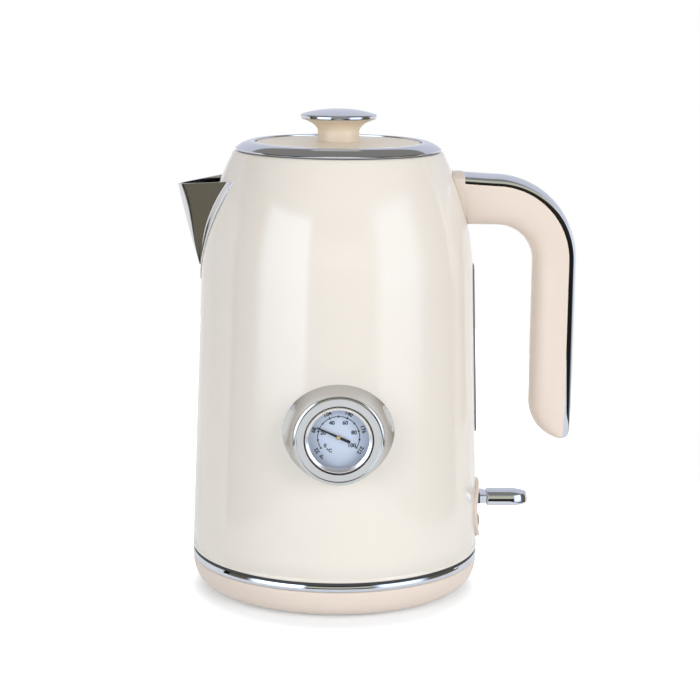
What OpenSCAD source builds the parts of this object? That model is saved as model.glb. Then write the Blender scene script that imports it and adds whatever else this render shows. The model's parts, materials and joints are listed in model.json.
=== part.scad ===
// Retro jug kettle: steel jug with a folded spout, lift-off lid, dial thermometer,
// water window and rocker switch, standing on a swivelling power base.
//
// Millimetres. +Z is up and the jug's axis is Z. The table is z = 0. The spout points to -X,
// the handle to +X and the dial to -Y. Round sub-parts share the jug's axis unless their
// module says otherwise.

/* [Jug] */
// Radius of the jug at its foot
foot_r = 75; // [74.5:0.5:75.5]
// Height of the seam between the jug's wall and its foot ring
seam_z = 19.8; // [19.6:0.1:20]
// Radius lost for each millimetre of height along the straight side
side_taper = 0.034; // [0.032:0.001:0.036]
// Height at which the straight side turns into the shoulder
shoulder_z = 166; // [165:1:168]
// Height of the jug's top edge, under the lid
rim_z = 226.8; // [226.6:0.1:227]
// Radius of the shoulder where it meets the lid
shoulder_r = 53.5; // [53:0.5:54]
// Radius of the mouth that the lid plugs
mouth_r = 46.5; // [46.3:0.1:46.6]
// Thickness of the steel wall
wall_t = 0.9; // [0.8:0.1:0.9]
// Height of the heater plate's underside
heater_z = 49; // [49:0.5:49.5]

/* [Power base] */
// Radius of the power base
base_r = 74.8; // [74.6:0.1:75]
// Height of the power base's rim
base_z = 15; // [14.8:0.1:15]
// Radius of the hole for the mains cord
cord_r = 2.6; // [2.5:0.1:2.7]

/* [Lid] */
// Outer radius of the lid's bright rim
lid_r = 52.6; // [52:0.1:53]
// Height of the rim's crest
lid_crest_z = 231.6; // [231.4:0.1:231.8]
// Radius of the knob's cap
knob_r = 19.5; // [19:0.5:20]
// Height of the knob's top, which is the height of the kettle
knob_top_z = 248; // [247.5:0.5:249]

/* [Spout] */
// Distance of the spout's tip from the axis
spout_reach = 82; // [80:1:83]
// Height of the spout's tip
spout_tip_z = 209.2; // [208:0.2:210]
// Height of the lowest point of the spout's seam
spout_low_z = 163.8; // [163:0.2:165]
// Height of the spout's top corners on the jug
spout_top_z = 212.8; // [212:0.2:213]
// Half of the angle that the spout takes on the jug at its top
spout_half = 24; // [23:1:25]

/* [Handle] */
// Distance of the handle's outer bend centre from the axis
bend_x = 80; // [79:0.5:81]
// Height of the bend centre
bend_z = 172; // [171:0.5:173]
// Radius of the grip's outer face about the bend centre
grip_r = 38.4; // [38:0.1:38.8]
// Radius of the grip's inner face in the bend
grip_inner_r = 19; // [18.5:0.1:19.5]
// Width of the grip
grip_w = 26; // [25:0.5:27]
// Height at which the grip's lower end starts to round off
grip_end_z = 97; // [95:1:99]
// Height of the bright strip along its edges
strip_edge = 2.9; // [2.8:0.1:3.1]
// Extra height of the bright strip along its middle
strip_crown = 2.2; // [2:0.1:2.4]

/* [Dial] */
// Height of the thermometer's centre
dial_z = 94.6; // [94:0.2:95]
// Radius of the dial's front lip
dial_lip_r = 21.7; // [21.5:0.1:22]
// Distance of the dial's front lip from the jug's axis
dial_front = 85.3; // [85:0.1:85.6]

/* [Switch] */
// Height of the lever's pivot and paddle
lever_z = 44; // [43.9:0.1:44]
// Distance of the lever's pivot from the axis
pivot_x = 66; // [66:0.1:66.2]
// Distance of the paddle's end from the axis
lever_reach = 102; // [100:1:104]
// Width of the paddle
paddle_w = 17.2; // [16.4:0.4:18]

/* [Water window] */
// Height of the window's lower end
window_low_z = 79.8; // [79:0.2:81]
// Height of the window's upper end
window_top_z = 169; // [168:0.5:170]
// Width of the window's frame
window_w = 15; // [14:0.5:16]

/* [Hidden] */
$fn = 96;

cream = [0.95, 0.90, 0.85];
satin_cream = [0.93, 0.86, 0.80];
chrome = [0.80, 0.81, 0.84];
steel = [0.66, 0.67, 0.69];
dark_steel = [0.32, 0.30, 0.27];
brass = [0.80, 0.65, 0.35];
black = [0.10, 0.10, 0.11];
smoke = [0.55, 0.56, 0.57];

// Gap between pieces that move past each other, and between a fixed piece and the jug's wall
gap = 0.3;
seat = 0.05;
big = 200;

// ---------------------------------------------------------------- jug outline

// The side is a straight taper, and the shoulder takes a parabola off it.
shoulder_k = (foot_r - side_taper * (rim_z - seam_z) - shoulder_r) / pow(rim_z - shoulder_z, 2);

function wall_r(z) =
    foot_r - side_taper * (z - seam_z) - (z > shoulder_z ? shoulder_k * pow(z - shoulder_z, 2) : 0);

// Outline points [radius, height] from z0 up to z1, the wall grown by grow
function wall_line(grow, z0, z1) =
    let (
        steps = 14,
        straight = z0 < shoulder_z ? [z0] : [],
        start = max(z0, shoulder_z),
        curve = z1 > start ? [for (i = [0 : steps]) start + (z1 - start) * i / steps] : [z1]
    )
    [for (z = concat(straight, curve)) [wall_r(z) + grow, z]];

function reversed(list) = [for (i = [len(list) - 1 : -1 : 0]) list[i]];

// Solid of the jug's outline, grown by grow
module jug_solid(grow, z0, z1) {
    rotate_extrude() polygon(concat([[0, z0]], wall_line(grow, z0, z1), [[0, z1]]));
}

// Skin of the jug between two growths
module jug_skin(inner, outer, z0, z1) {
    rotate_extrude() polygon(concat(wall_line(outer, z0, z1), reversed(wall_line(inner, z0, z1))));
}

// Extrudes a shape drawn in the Y-Z plane from x0 to x1
module along_x(x0, x1) {
    translate([x0, 0, 0]) rotate([90, 0, 90]) linear_extrude(x1 - x0) children();
}

// A slot with round ends, drawn from low to high
module upright_slot(w, low, high) {
    translate([-w / 2, low + w / 2]) square([w, high - low - w]);
    for (end = [low + w / 2, high - w / 2]) translate([0, end]) circle(d = w);
}

module rod_x(r, x0, x1, y, z) {
    translate([x0, y, z]) rotate([0, 90, 0]) cylinder(r = r, h = x1 - x0);
}

// Copies at equal angles about Z, at radius r
module ring_of(count, r, first) {
    for (i = [0 : count - 1]) rotate([0, 0, first + 360 * i / count]) translate([r, 0, 0]) children();
}

function middle(ring) = [for (k = [0 : 2]) [for (p = ring) p[k]] * [for (p = ring) 1 / len(ring)]];

// Closed polyhedron through rings of points, all of one length and in step
module skin(rings) {
    m = len(rings[0]);
    n = len(rings);
    low = n * m;
    points = concat([for (ring = rings) for (p = ring) p], [middle(rings[0]), middle(rings[n - 1])]);
    polyhedron(points = points, faces = concat(
        [for (i = [0 : n - 2]) for (j = [0 : m - 1])
            let (a = i * m + j, b = i * m + (j + 1) % m)
            each [[a, a + m, b], [b, a + m, b + m]]],
        [for (j = [0 : m - 1]) [low, j, (j + 1) % m]],
        [for (j = [0 : m - 1]) [low + 1, low - m + (j + 1) % m, low - m + j]]), convexity = 6);
}

// ---------------------------------------------------------------- power base

base_low_z = 1;
base_round_r = 9.5;
base_wall = 2.5;
deck_top_z = 12;
deck_low_z = 9.5;
deck_r = 72;
deck_hole_r = 13;
plate_top_z = 3;
plate_low_z = 1.2;
base_screw_ring = 50;
base_screw_r = 1.3;
cord_z = 6.2;
cord_seat_y = 72.2;
bush_r = 3.2;
bush_flange_r = 4.6;
bush_in_y = 67;
bush_out_y = 74;

// Quarter-ellipse edge under the power base, from the table side up to the wall
function base_edge(shift, z1) =
    [for (i = [0 : 10])
        let (z = base_low_z + (z1 - base_low_z) * i / 10,
             drop = (base_z - 1.2 - z) / (base_z - 1.2 - base_low_z))
        [base_r - shift - base_round_r * (1 - sqrt(max(0, 1 - pow(max(0, drop), 2)))), z]];

module base_shell() {
    color(satin_cream) difference() {
        union() {
            rotate_extrude() polygon(concat(
                base_edge(0, base_z - 1.2),
                [[base_r, base_z - 0.5], [base_r - 0.5, base_z], [deck_r, base_z], [deck_r, deck_top_z],
                 [deck_hole_r, deck_top_z], [deck_hole_r, deck_low_z]],
                reversed(base_edge(base_wall, deck_low_z))));
            ring_of(3, base_screw_ring, 30) translate([0, 0, plate_top_z])
                cylinder(r = 4, h = deck_low_z - plate_top_z + 0.5);
        }
        ring_of(3, base_screw_ring, 30) translate([0, 0, plate_top_z - 1])
            cylinder(r = base_screw_r, h = deck_low_z - plate_top_z + 0.2);
        translate([0, 60, cord_z]) rotate([-90, 0, 0]) cylinder(r = bush_r + 0.05, h = 20);
        translate([0, cord_seat_y, cord_z]) rotate([-90, 0, 0]) cylinder(r = bush_flange_r + 0.1, h = 8);
    }
}

module base_plate() {
    plate_r = base_r - base_wall - base_round_r - 0.3;
    color(black) difference() {
        translate([0, 0, plate_low_z]) cylinder(r = plate_r, h = plate_top_z - plate_low_z);
        ring_of(3, base_screw_ring, 30) translate([0, 0, plate_low_z - 1]) {
            cylinder(r = base_screw_r + 0.1, h = 4);
            cylinder(r = 3.1, h = 2);
        }
    }
}

// Four pads near the edge and one under the connector
module base_feet() {
    color([0.2, 0.2, 0.2]) {
        ring_of(4, 52, 45) cylinder(r = 6, h = plate_low_z);
        cylinder(r = 6, h = plate_low_z);
    }
}

module base_screws() {
    head_h = 0.9;
    color(steel) ring_of(3, base_screw_ring, 30) translate([0, 0, plate_low_z + 1 - head_h]) {
        cylinder(r = 3, h = head_h);
        cylinder(r = base_screw_r, h = 6.5);
    }
}

// Grommet that the mains cord comes out of, at the rear
module cord_bush() {
    color(black) translate([0, 0, cord_z]) rotate([-90, 0, 0]) difference() {
        union() {
            translate([0, 0, bush_in_y]) cylinder(r = bush_r, h = bush_out_y - bush_in_y);
            translate([0, 0, cord_seat_y]) cylinder(r = bush_flange_r, h = bush_out_y - cord_seat_y);
        }
        translate([0, 0, bush_in_y - 1]) cylinder(r = cord_r, h = bush_out_y - bush_in_y + 2);
    }
}

module base_terminal_block() {
    color([0.85, 0.85, 0.82]) translate([-8, 48, plate_top_z]) cube([16, 12, deck_low_z - plate_top_z - 0.1]);
}

module base_wires() {
    color([0.45, 0.30, 0.20]) for (x = [-4, 0, 4])
        translate([x, 16, cord_z]) rotate([-90, 0, 0]) cylinder(r = 1, h = 32);
}

// ---------------------------------------------------------------- swivel connector

tower_r = 8.8;
tower_top_z = 26;
ring_r = 9.4;
contact_low_z = [17, 21.5];
contact_h = 2.5;
earth_pin_r = 1.6;

module connector_housing() {
    color(black) rotate_extrude() polygon([
        [0, 4.2], [15, 4.2], [15, deck_low_z - gap], [deck_hole_r - 0.4, deck_low_z - gap],
        [deck_hole_r - 0.4, deck_top_z], [tower_r, deck_top_z], [tower_r, tower_top_z],
        [3.2, tower_top_z], [3.2, 16], [0, 16]]);
}

module connector_rings() {
    color(brass) for (z = contact_low_z) translate([0, 0, z]) difference() {
        cylinder(r = ring_r, h = contact_h);
        translate([0, 0, -1]) cylinder(r = tower_r, h = contact_h + 2);
    }
}

module connector_pin() {
    color(brass) translate([0, 0, 16]) cylinder(r = earth_pin_r, h = 11.5);
}

// ---------------------------------------------------------------- jug: wall and foot

ring_low_z = base_z + 0.4;
cover_low_z = deck_top_z + 0.4;
cover_top_z = cover_low_z + 2.2;
cover_r = 70.8;
cover_hole_r = 15.4;
boss_ring = 55;
boss_r = 4;
boss_low_z = 20;
screw_r = 1.6;

module jug_shell() {
    inside_top = rim_z - wall_t;
    color(cream) difference() {
        rotate_extrude() polygon(concat(
            wall_line(0, seam_z, rim_z - 0.8),
            [[shoulder_r - 0.3, rim_z - 0.25], [shoulder_r - 1.2, rim_z], [mouth_r, rim_z],
             [mouth_r, rim_z - 6.8], [mouth_r + wall_t, rim_z - 6.8], [mouth_r + wall_t, inside_top]],
            reversed(wall_line(-wall_t, seam_z, inside_top))));
        mirror([1, 0, 0]) along_x(40, 80) seam_outline(-1.3, 11, 46.5);
        along_x(60, 80) upright_slot(window_slot_w, window_low_z + 4, window_top_z - 4);
        translate([60, -lever_slot_w / 2, lever_slot_low_z]) cube([20, lever_slot_w, lever_slot_top_z - lever_slot_low_z]);
        rod_x(lens_r + 0.1, 60, 80, 0, lens_z);
        for (z = handle_screw_z) rod_x(handle_screw_r + 0.2, 50, 80, 0, z);
        about_dial() translate([0, 0, 60]) cylinder(r = stem_r + 0.2, h = 20);
    }
}

// Half-round bright ring that the wall stands on
module foot_ring() {
    h = seam_z - ring_low_z;
    color(chrome) rotate_extrude() polygon(concat(
        [[cover_r + 0.2, ring_low_z], [foot_r - 1.6, ring_low_z]],
        [for (a = [-75 : 15 : 75]) [foot_r - 1.6 + 1.8 * cos(a), ring_low_z + h / 2 + h / 2 * sin(a)]],
        [[foot_r - 1.6, seam_z], [cover_r + 0.2, seam_z]]));
}

module bottom_cover() {
    lip_low_z = seam_z + 0.4;
    color(black) difference() {
        union() {
            rotate_extrude() polygon([
                [cover_hole_r, cover_low_z], [68.5, cover_low_z], [cover_r, cover_top_z + 0.1],
                [cover_r, lip_low_z], [foot_r - wall_t - 0.4, lip_low_z], [foot_r - wall_t - 0.4, 24],
                [cover_r - 2.2, 24], [cover_r - 2.2, cover_top_z], [cover_hole_r, cover_top_z]]);
            ring_of(3, boss_ring, 60) translate([0, 0, cover_low_z + 1])
                cylinder(r = boss_r + 0.5, h = boss_low_z - cover_low_z - 1);
        }
        ring_of(3, boss_ring, 60) translate([0, 0, cover_low_z - 1]) {
            cylinder(r = screw_r + 0.1, h = 12);
            cylinder(r = 3.2, h = 2.4);
        }
    }
}

module cover_screws() {
    color(steel) ring_of(3, boss_ring, 60) translate([0, 0, cover_low_z + 0.2]) {
        cylinder(r = 3, h = 1.2);
        cylinder(r = screw_r, h = 20);
    }
}

// Floor of the water chamber, with the three posts that carry the bottom cover
module heater_plate() {
    plate_r = wall_r(heater_z + 1.5) - wall_t - 0.1;
    color(steel) difference() {
        union() {
            rotate_extrude() polygon([
                [0, heater_z], [plate_r - 1.2, heater_z], [plate_r - 1.2, heater_z - 1.5],
                [plate_r, heater_z - 1.5], [plate_r, heater_z + 1.5], [0, heater_z + 1.5]]);
            ring_of(3, boss_ring, 60) translate([0, 0, boss_low_z])
                cylinder(r = boss_r, h = heater_z - boss_low_z + 0.5);
        }
        ring_of(3, boss_ring, 60) translate([0, 0, boss_low_z - 1]) cylinder(r = screw_r, h = 16);
        translate([tube_x, tube_y, heater_z - 1]) cylinder(r = tube_r + 0.1, h = 4);
    }
}

// ---------------------------------------------------------------- jug: heater and controls

control_z = 31;
control_top_z = heater_z - 1.4;
element_in_r = 36;
element_out_r = 44;
element_low_z = heater_z - 7.5;
element_gap = 32;
tail_y = 21.2;
control_half = [22, 24];
socket_r = 15;

module heating_element() {
    tail_low_z = element_low_z - 5.5;
    color([0.6, 0.6, 0.6]) {
        rotate([0, 0, element_gap]) rotate_extrude(angle = 360 - 2 * element_gap) polygon([
            [element_in_r + 2, element_low_z], [element_out_r - 2, element_low_z],
            [element_out_r, element_low_z + 3], [element_out_r, heater_z - seat],
            [element_in_r, heater_z - seat], [element_in_r, element_low_z + 3]]);
        for (side = [-1, 1]) {
            translate([32, side * tail_y + side * 1.4, tail_low_z])
                cylinder(r = 1.5, h = element_low_z - tail_low_z + 0.5);
            translate([control_half[0], side * tail_y - 1.5, tail_low_z]) cube([10, 3, 3]);
        }
    }
}

module thermostat_control() {
    color(black) translate([-control_half[0], -control_half[1], control_z])
        cube([2 * control_half[0], 2 * control_half[1], control_top_z - control_z]);
}

// Snap discs that cut the current if the jug boils dry
module boil_dry_discs() {
    color(brass) for (x = [-11, 11]) translate([x, 0, control_top_z]) cylinder(r = 8, h = 0.7);
}

// Female half of the swivel connector
module coupler_socket() {
    inner_r = ring_r + 0.5;
    groove_r = 11;
    color(black) rotate_extrude() polygon(concat(
        [[socket_r, cover_low_z + gap], [socket_r, cover_top_z], [21, cover_top_z], [21, cover_top_z + 1.8],
         [socket_r, cover_top_z + 1.8], [socket_r, control_z], [0, control_z], [0, 28.6],
         [2.1, 28.6], [2.1, 20], [2.9, 20], [2.9, 28.6], [inner_r, 28.6]],
        [for (z = reversed(contact_low_z)) each
            [[inner_r, z + contact_h], [groove_r, z + contact_h], [groove_r, z], [inner_r, z]]],
        [[inner_r, cover_low_z + gap]]));
}

module coupler_contacts() {
    color(brass) for (z = contact_low_z) translate([0, 0, z]) difference() {
        cylinder(r = 11, h = contact_h);
        translate([0, 0, -1]) cylinder(r = ring_r + 0.3, h = contact_h + 2);
    }
}

tube_x = 48;
tube_y = 20;
tube_r = 4.3;
tube_top_z = 205;
switch_top_z = 45;
switch_low_z = 31;

module steam_switch() {
    color([0.2, 0.2, 0.22]) translate([43, -14, switch_low_z]) cube([14, 40, switch_top_z - switch_low_z]);
}

// Disc that snaps over in steam and trips the lever
module steam_bimetal() {
    color(brass) rod_x(8, 57, 57.5, 0, 38);
}

lever_pin_r = 1.5;
ear_in = 9;
ear_out = 12;
carrier_z = 34;

// Cradle under the heater plate with the two ears that hold the lever's pin
module switch_carrier() {
    color(black) difference() {
        union() {
            translate([58, -ear_out, carrier_z]) cube([12, 2 * ear_out, 2]);
            for (y = [-ear_out, ear_in]) translate([60, y, carrier_z])
                cube([10, ear_out - ear_in, heater_z - carrier_z]);
        }
        translate([pivot_x, 0, lever_z]) rotate([90, 0, 0]) cylinder(r = lever_pin_r + 0.05, h = 40, center = true);
    }
}

module internal_wires() {
    color([0.25, 0.35, 0.6]) for (y = [-8, 0, 8]) rod_x(1.1, control_half[0], 43, y, 36);
}

// Pipe that leads steam from the top of the jug down to the switch
module steam_tube() {
    color(steel) translate([tube_x, tube_y, 0]) rotate_extrude() polygon([
        [3.2, switch_top_z], [tube_r, switch_top_z], [tube_r, heater_z + 1.5], [6.5, heater_z + 1.5],
        [6.5, heater_z + 3], [tube_r, heater_z + 3], [tube_r, tube_top_z], [3.2, tube_top_z]]);
}

// ---------------------------------------------------------------- spout

spout_wall = 0.9;
spout_curve = 1.6;
spout_keel_z = spout_low_z + 0.7;
spout_back_x = -44;

// Half of the angle that the seam takes on the jug at height z
function seam_half(z) = spout_half * pow(max(0, z - spout_low_z) / (spout_top_z - spout_low_z), spout_curve);

// Half of the angle that the flange around the seam takes at height z
function flange_half(z) = (spout_half + 4.5) * pow(max(0, z - spout_low_z) / (spout_top_z - spout_low_z), 0.74);

// One closed section of the wedge at level v: a rounded V from the seam by way of the keel
// to the other seam, closed inside the jug. Deep moves the V's walls inwards.
function spout_section(v, deep) =
    let (
        z = spout_low_z + v * (spout_top_z - spout_low_z),
        r = wall_r(z),
        ys = r * sin(seam_half(z)) - 1.35 * deep,
        xs = -r * cos(seam_half(z)),
        xk = -wall_r(spout_keel_z) - v * (spout_reach - wall_r(spout_keel_z)) + 1.35 * deep,
        zk = spout_keel_z + v * (spout_tip_z - spout_keel_z),
        e = 0.12 + 1.2 * pow(max(0, 1 - v), 1.2)
    )
    concat(
        [for (i = [-6 : 6])
            let (u = i / 6, w = (sqrt(u * u + e * e) - e) / (sqrt(1 + e * e) - e))
            [xk + (xs - xk) * w, ys * u, zk + (z - zk) * w]],
        [[spout_back_x, ys, z], [spout_back_x, -ys, z]]);

// Outline of the seam in the Y-Z plane between two heights over its lowest point, grown by grow
module seam_outline(grow, from, to) {
    side = [for (i = [0 : 12])
        let (z = spout_low_z + from + (to - from) * i / 12)
        [wall_r(z) * sin(seam_half(z)) + grow, z]];
    polygon(concat(side, [for (p = reversed(side)) [-p[0], p[1]]]));
}

// Solid wedge between levels v0 and v1
module spout_wedge(deep, v0, v1) {
    skin([for (i = [0 : 12]) spout_section(v1 - (v1 - v0) * i / 12, deep)]);
}

module spout() {
    color(dark_steel) difference() {
        spout_wedge(0, 0.08, 1);
        spout_wedge(spout_wall, 0.18, 1.08);
        jug_solid(2 * seat, 150, rim_z);
    }
}

// Folded edge that lies on the jug around the spout and ends in a point below it
module spout_flange() {
    side = [for (i = [0 : 12])
        let (z = spout_low_z + (spout_top_z - spout_low_z) * i / 12)
        [wall_r(z) * sin(flange_half(z)) + 0.2, z]];
    color(steel) intersection() {
        jug_skin(2 * seat, 0.8, spout_low_z - 10, spout_top_z + 5);
        mirror([1, 0, 0]) along_x(40, 90) difference() {
            union() {
                polygon(concat(side, [for (p = reversed(side)) [-p[0], p[1]]]));
                polygon([[-3, spout_low_z + 1], [-1.2, spout_low_z - 3.8], [1.2, spout_low_z - 3.8],
                    [3, spout_low_z + 1]]);
            }
            seam_outline(seat, 4, spout_top_z - spout_low_z + 5);
        }
    }
}

rail_y = 18.4;
filter_low_z = 172;

// Two channels inside the jug that hold the filter behind the spout
module filter_rails() {
    rail_h = 28;
    color(smoke) intersection() {
        jug_solid(-wall_t - seat, filter_low_z - 5, 210);
        for (side = [0, 1]) mirror([0, side, 0]) union() {
            translate([-54, rail_y, filter_low_z]) cube([7, 2.1, rail_h]);
            translate([-54, rail_y - 1.2, filter_low_z]) cube([1.8, 1.4, rail_h]);
            translate([-48.8, rail_y - 1.2, filter_low_z]) cube([1.8, 1.4, rail_h]);
            translate([-54, 13, filter_low_z - 2]) cube([7, rail_y + 2.1 - 13, 2.1]);
            translate([-90, rail_y + 0.5, filter_low_z - 2]) cube([36.5, 1.2, rail_h - 12]);
        }
    }
}

module filter_frame() {
    color(smoke) {
        difference() {
            translate([-51.9, -18, filter_low_z + gap]) cube([2.8, 36, 34]);
            translate([-53, -15, filter_low_z + 4]) cube([5, 30, 26]);
        }
        translate([-51.9, -6, filter_low_z + 34]) cube([2.8, 12, 3]);
    }
}

module filter_mesh() {
    color(steel) translate([-50.7, -15, filter_low_z + 4]) cube([0.4, 30, 26]);
}

// ---------------------------------------------------------------- water window

window_slot_w = 10.4;
window_proud = 0.8;

module window_frame() {
    low = window_low_z;
    high = window_top_z;
    color(smoke) intersection() {
        rotate_extrude() polygon([
            [wall_r(low) + seat, low], [wall_r(low) + 0.95, low], [wall_r(shoulder_z) + window_proud, shoulder_z],
            [wall_r(high) + window_proud, high], [wall_r(high) + seat, high], [wall_r(shoulder_z) + seat, shoulder_z]]);
        along_x(60, 80) difference() {
            upright_slot(window_w, low, high);
            upright_slot(window_slot_w - 0.4, low + 4.2, high - 4.2);
        }
    }
}

// Clear strip through the slot, with a flange inside the jug
module window_lens() {
    low = window_low_z + 4.3;
    high = window_top_z - 4.3;
    inside = wall_t + 1.45;
    color([0.75, 0.78, 0.80, 0.5]) {
        intersection() {
            jug_skin(-inside - 0.1, 0.4, low, high);
            along_x(60, 80) upright_slot(window_slot_w - 0.6, low, high);
        }
        intersection() {
            jug_skin(-inside - 1.2, -inside, low - 3, high + 3);
            along_x(60, 80) upright_slot(window_w, low - 3, high + 3);
        }
    }
}

module window_gasket() {
    low = window_low_z + 4.3;
    high = window_top_z - 4.3;
    color([0.85, 0.85, 0.85]) intersection() {
        jug_skin(-wall_t - 1.4, -wall_t - seat, low - 3.5, high + 3.5);
        along_x(60, 80) difference() {
            upright_slot(window_w + 1, low - 3.5, high + 3.5);
            upright_slot(window_slot_w - 0.4, low - 0.1, high + 0.1);
        }
    }
}

// ---------------------------------------------------------------- handle

inner_x = 82;
inner_z = 170.5;
root_z = 212.6;
strip_start_x = 64.3;
grip_half = grip_w / 2;
handle_screw_z = [196, 206];
handle_screw_r = 2;

// A station is [outer point, inner point, width factor, strip factor], points as [x, z].
// The grip starts level with the strip's top, steps down under it, runs to the bend, round it
// and down, and rounds off at its end.
root_top_z = root_z + 3.7;
grip_root = [
    [[54, root_top_z], [58, inner_z + grip_inner_r + 0.3], 1, 1],
    [[strip_start_x - 0.1, root_top_z], [66.9, inner_z + grip_inner_r + 0.1], 1, 1],
    [[strip_start_x, bend_z + grip_r + 1], [67, inner_z + grip_inner_r + 0.1], 1, 1]
];
grip_bend = [for (i = [0 : 10])
    let (a = 90 - 9 * i)
    [[bend_x + grip_r * cos(a), bend_z + grip_r * sin(a)],
     [inner_x + grip_inner_r * cos(a), inner_z + grip_inner_r * sin(a)], 1, 1]];
grip_down = [for (z = [140, grip_end_z])
    [[bend_x + grip_r, z], [inner_x + grip_inner_r, z], 1, 1]];
grip_tip = [for (a = [15 : 14 : 85])
    [[bend_x + grip_r - 0.6 * (a / 85), grip_end_z - 19 * sin(a)],
     [bend_x + grip_r - (bend_x + grip_r - inner_x - grip_inner_r) * cos(a), grip_end_z - 19.5 * sin(a)],
     1 - 0.35 * pow(a / 85, 3), 1 - 0.75 * pow(a / 85, 5)]];

// Round-bellied section of the grip at a station, flat under the strip
function grip_ring(s) =
    [for (i = [0 : 14])
        let (t = 180 * i / 14, c = cos(t), depth = pow(abs(sin(t)), 0.9),
             y = -grip_half * s[2] * sign(c) * pow(abs(c), 0.75))
        [s[0][0] + (s[1][0] - s[0][0]) * depth, y, s[0][1] + (s[1][1] - s[0][1]) * depth]];

// Half of the strip's section, from its foot to its middle: a slightly bellied side, a tight
// shoulder and a crown
strip_half = let (crown_half = grip_half - 0.41)
    concat(
        [for (h = [0 : 0.65 : 2.6]) [grip_half + 0.044 * h - 0.04 * h * h, h]],
        [for (a = [25 : 15 : 70]) [crown_half - 0.14 + 0.4 * cos(a), strip_edge - 0.375 + 0.4 * sin(a)]],
        [for (u = [0.8 : -0.2 : 0.2]) [crown_half * u, strip_edge + strip_crown * (1 - u * u)]]);
strip_outline = concat(
    strip_half, [[0, strip_edge + strip_crown]], [for (p = reversed(strip_half)) [-p[0], p[1]]]);

function strip_ring(s) =
    let (d = s[0] - s[1], n = d / norm(d) * s[3])
    [for (p = strip_outline) [s[0][0] + n[0] * p[1], s[2] * p[0], s[0][1] + n[1] * p[1]]];

module handle_grip() {
    color(satin_cream) difference() {
        skin([for (s = concat(grip_root, grip_bend, grip_down, grip_tip)) grip_ring(s)]);
        jug_solid(2 * seat, 170, rim_z - 1);
        for (z = handle_screw_z) rod_x(handle_screw_r, 50, 82, 0, z);
    }
}

module handle_trim() {
    color(chrome) skin([for (s = concat([grip_root[2]], grip_bend, grip_down, grip_tip)) strip_ring(s)]);
}

// Block inside the jug that the handle's screws pull on
module handle_bracket() {
    color(steel) difference() {
        intersection() {
            jug_solid(-wall_t - seat, 190, 215);
            translate([54, -12, 190]) cube([30, 24, 25]);
        }
        for (z = handle_screw_z) rod_x(handle_screw_r, 50, 80, 0, z);
    }
}

module handle_screws() {
    color(steel) for (z = handle_screw_z) {
        rod_x(handle_screw_r, 54, 81.5, 0, z);
        rod_x(4, 51.6, 54, 0, z);
    }
}

// ---------------------------------------------------------------- thermometer

// Heights in this section are distances from the jug's axis towards -Y.
stem_r = 4;
well_r = 17;
case_low = 73;
face_low = 75.6;
lens_low = 78.4;
bezel_low = 79.5;
pin_r = 0.5;

module about_dial() {
    translate([0, 0, dial_z]) rotate([90, 0, 0]) children();
}

// Bright trumpet between the jug and the dial, dished at the front
module dial_housing() {
    flare = [for (h = [66 : 2 : 84]) [dial_lip_r + 0.4 + 0.019 * pow(84 - h, 2), h]];
    bevel = [for (k = [[0.4, 0.8], [0.25, 0.5], [-0.3, 0.28], [-0.8, 0.12], [-1.2, 0]])
        [dial_lip_r + k[0], dial_front - k[1]]];
    color(chrome) difference() {
        about_dial() rotate_extrude() polygon(concat(
            flare, bevel,
            [[dial_lip_r - 1.4, dial_front - 0.2], [dial_lip_r - 1.4, dial_front - 0.9],
             [well_r + 0.2, dial_front - 0.9], [well_r, dial_front - 1.1], [well_r, 66]]));
        jug_solid(seat, 30, 150);
    }
}

module dial_bezel() {
    color(chrome) about_dial() rotate_extrude() polygon([
        [14.7, bezel_low], [well_r - 0.05, bezel_low], [well_r - 0.05, 80.4], [16.5, 80.6], [16.5, 83.3],
        [16.2, 83.6], [15.9, 83.6], [14.7, 82.9]]);
}

module dial_lens() {
    color([0.85, 0.9, 0.95, 0.4]) about_dial() translate([0, 0, lens_low])
        cylinder(r = well_r - 0.1, h = bezel_low - lens_low);
}

module dial_face() {
    color([0.85, 0.88, 0.93]) about_dial() translate([0, 0, face_low]) difference() {
        cylinder(r = 16.3, h = 0.6);
        translate([0, 0, -1]) cylinder(r = pin_r + 0.06, h = 3);
    }
}

module dial_case() {
    color(steel) about_dial() rotate_extrude() polygon([
        [stem_r, case_low], [well_r - 0.1, case_low], [well_r - 0.1, lens_low], [16.4, lens_low],
        [16.4, face_low], [stem_r, face_low]]);
}

// Threaded neck through the wall and the probe in the water
module dial_stem() {
    color(steel) about_dial() difference() {
        union() {
            translate([0, 0, 58]) cylinder(r = stem_r, h = face_low - 58);
            translate([0, 0, 46]) cylinder(r = 2.5, h = 12.5);
        }
        translate([0, 0, 54]) cylinder(r = pin_r + 0.06, h = 30);
    }
}

module dial_washer() {
    color([0.8, 0.8, 0.8]) about_dial() translate([0, 0, 69.2]) difference() {
        cylinder(r = 9, h = 1.4);
        translate([0, 0, -1]) cylinder(r = stem_r, h = 4);
    }
}

module dial_nut() {
    color(steel) about_dial() translate([0, 0, 66]) difference() {
        cylinder(r = 8, h = 3.2, $fn = 6);
        translate([0, 0, -1]) cylinder(r = stem_r, h = 6);
    }
}

// Angle of the needle clockwise from the top of the dial, at room temperature
needle_angle = 294;

module needle_pointer() {
    color(black) about_dial() translate([0, 0, 76.9]) rotate([0, 0, -needle_angle]) linear_extrude(0.4) difference() {
        polygon([[-0.7, -6.2], [0.7, -6.2], [0.75, 0], [0.2, 11.7], [-0.2, 11.7], [-0.75, 0]]);
        circle(r = pin_r);
    }
}

module needle_hub() {
    color(brass) about_dial() {
        translate([0, 0, 55]) cylinder(r = pin_r, h = 22.4);
        translate([0, 0, 77.3]) cylinder(r = 1.1, h = 0.6);
    }
}

// ---------------------------------------------------------------- switch

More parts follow.
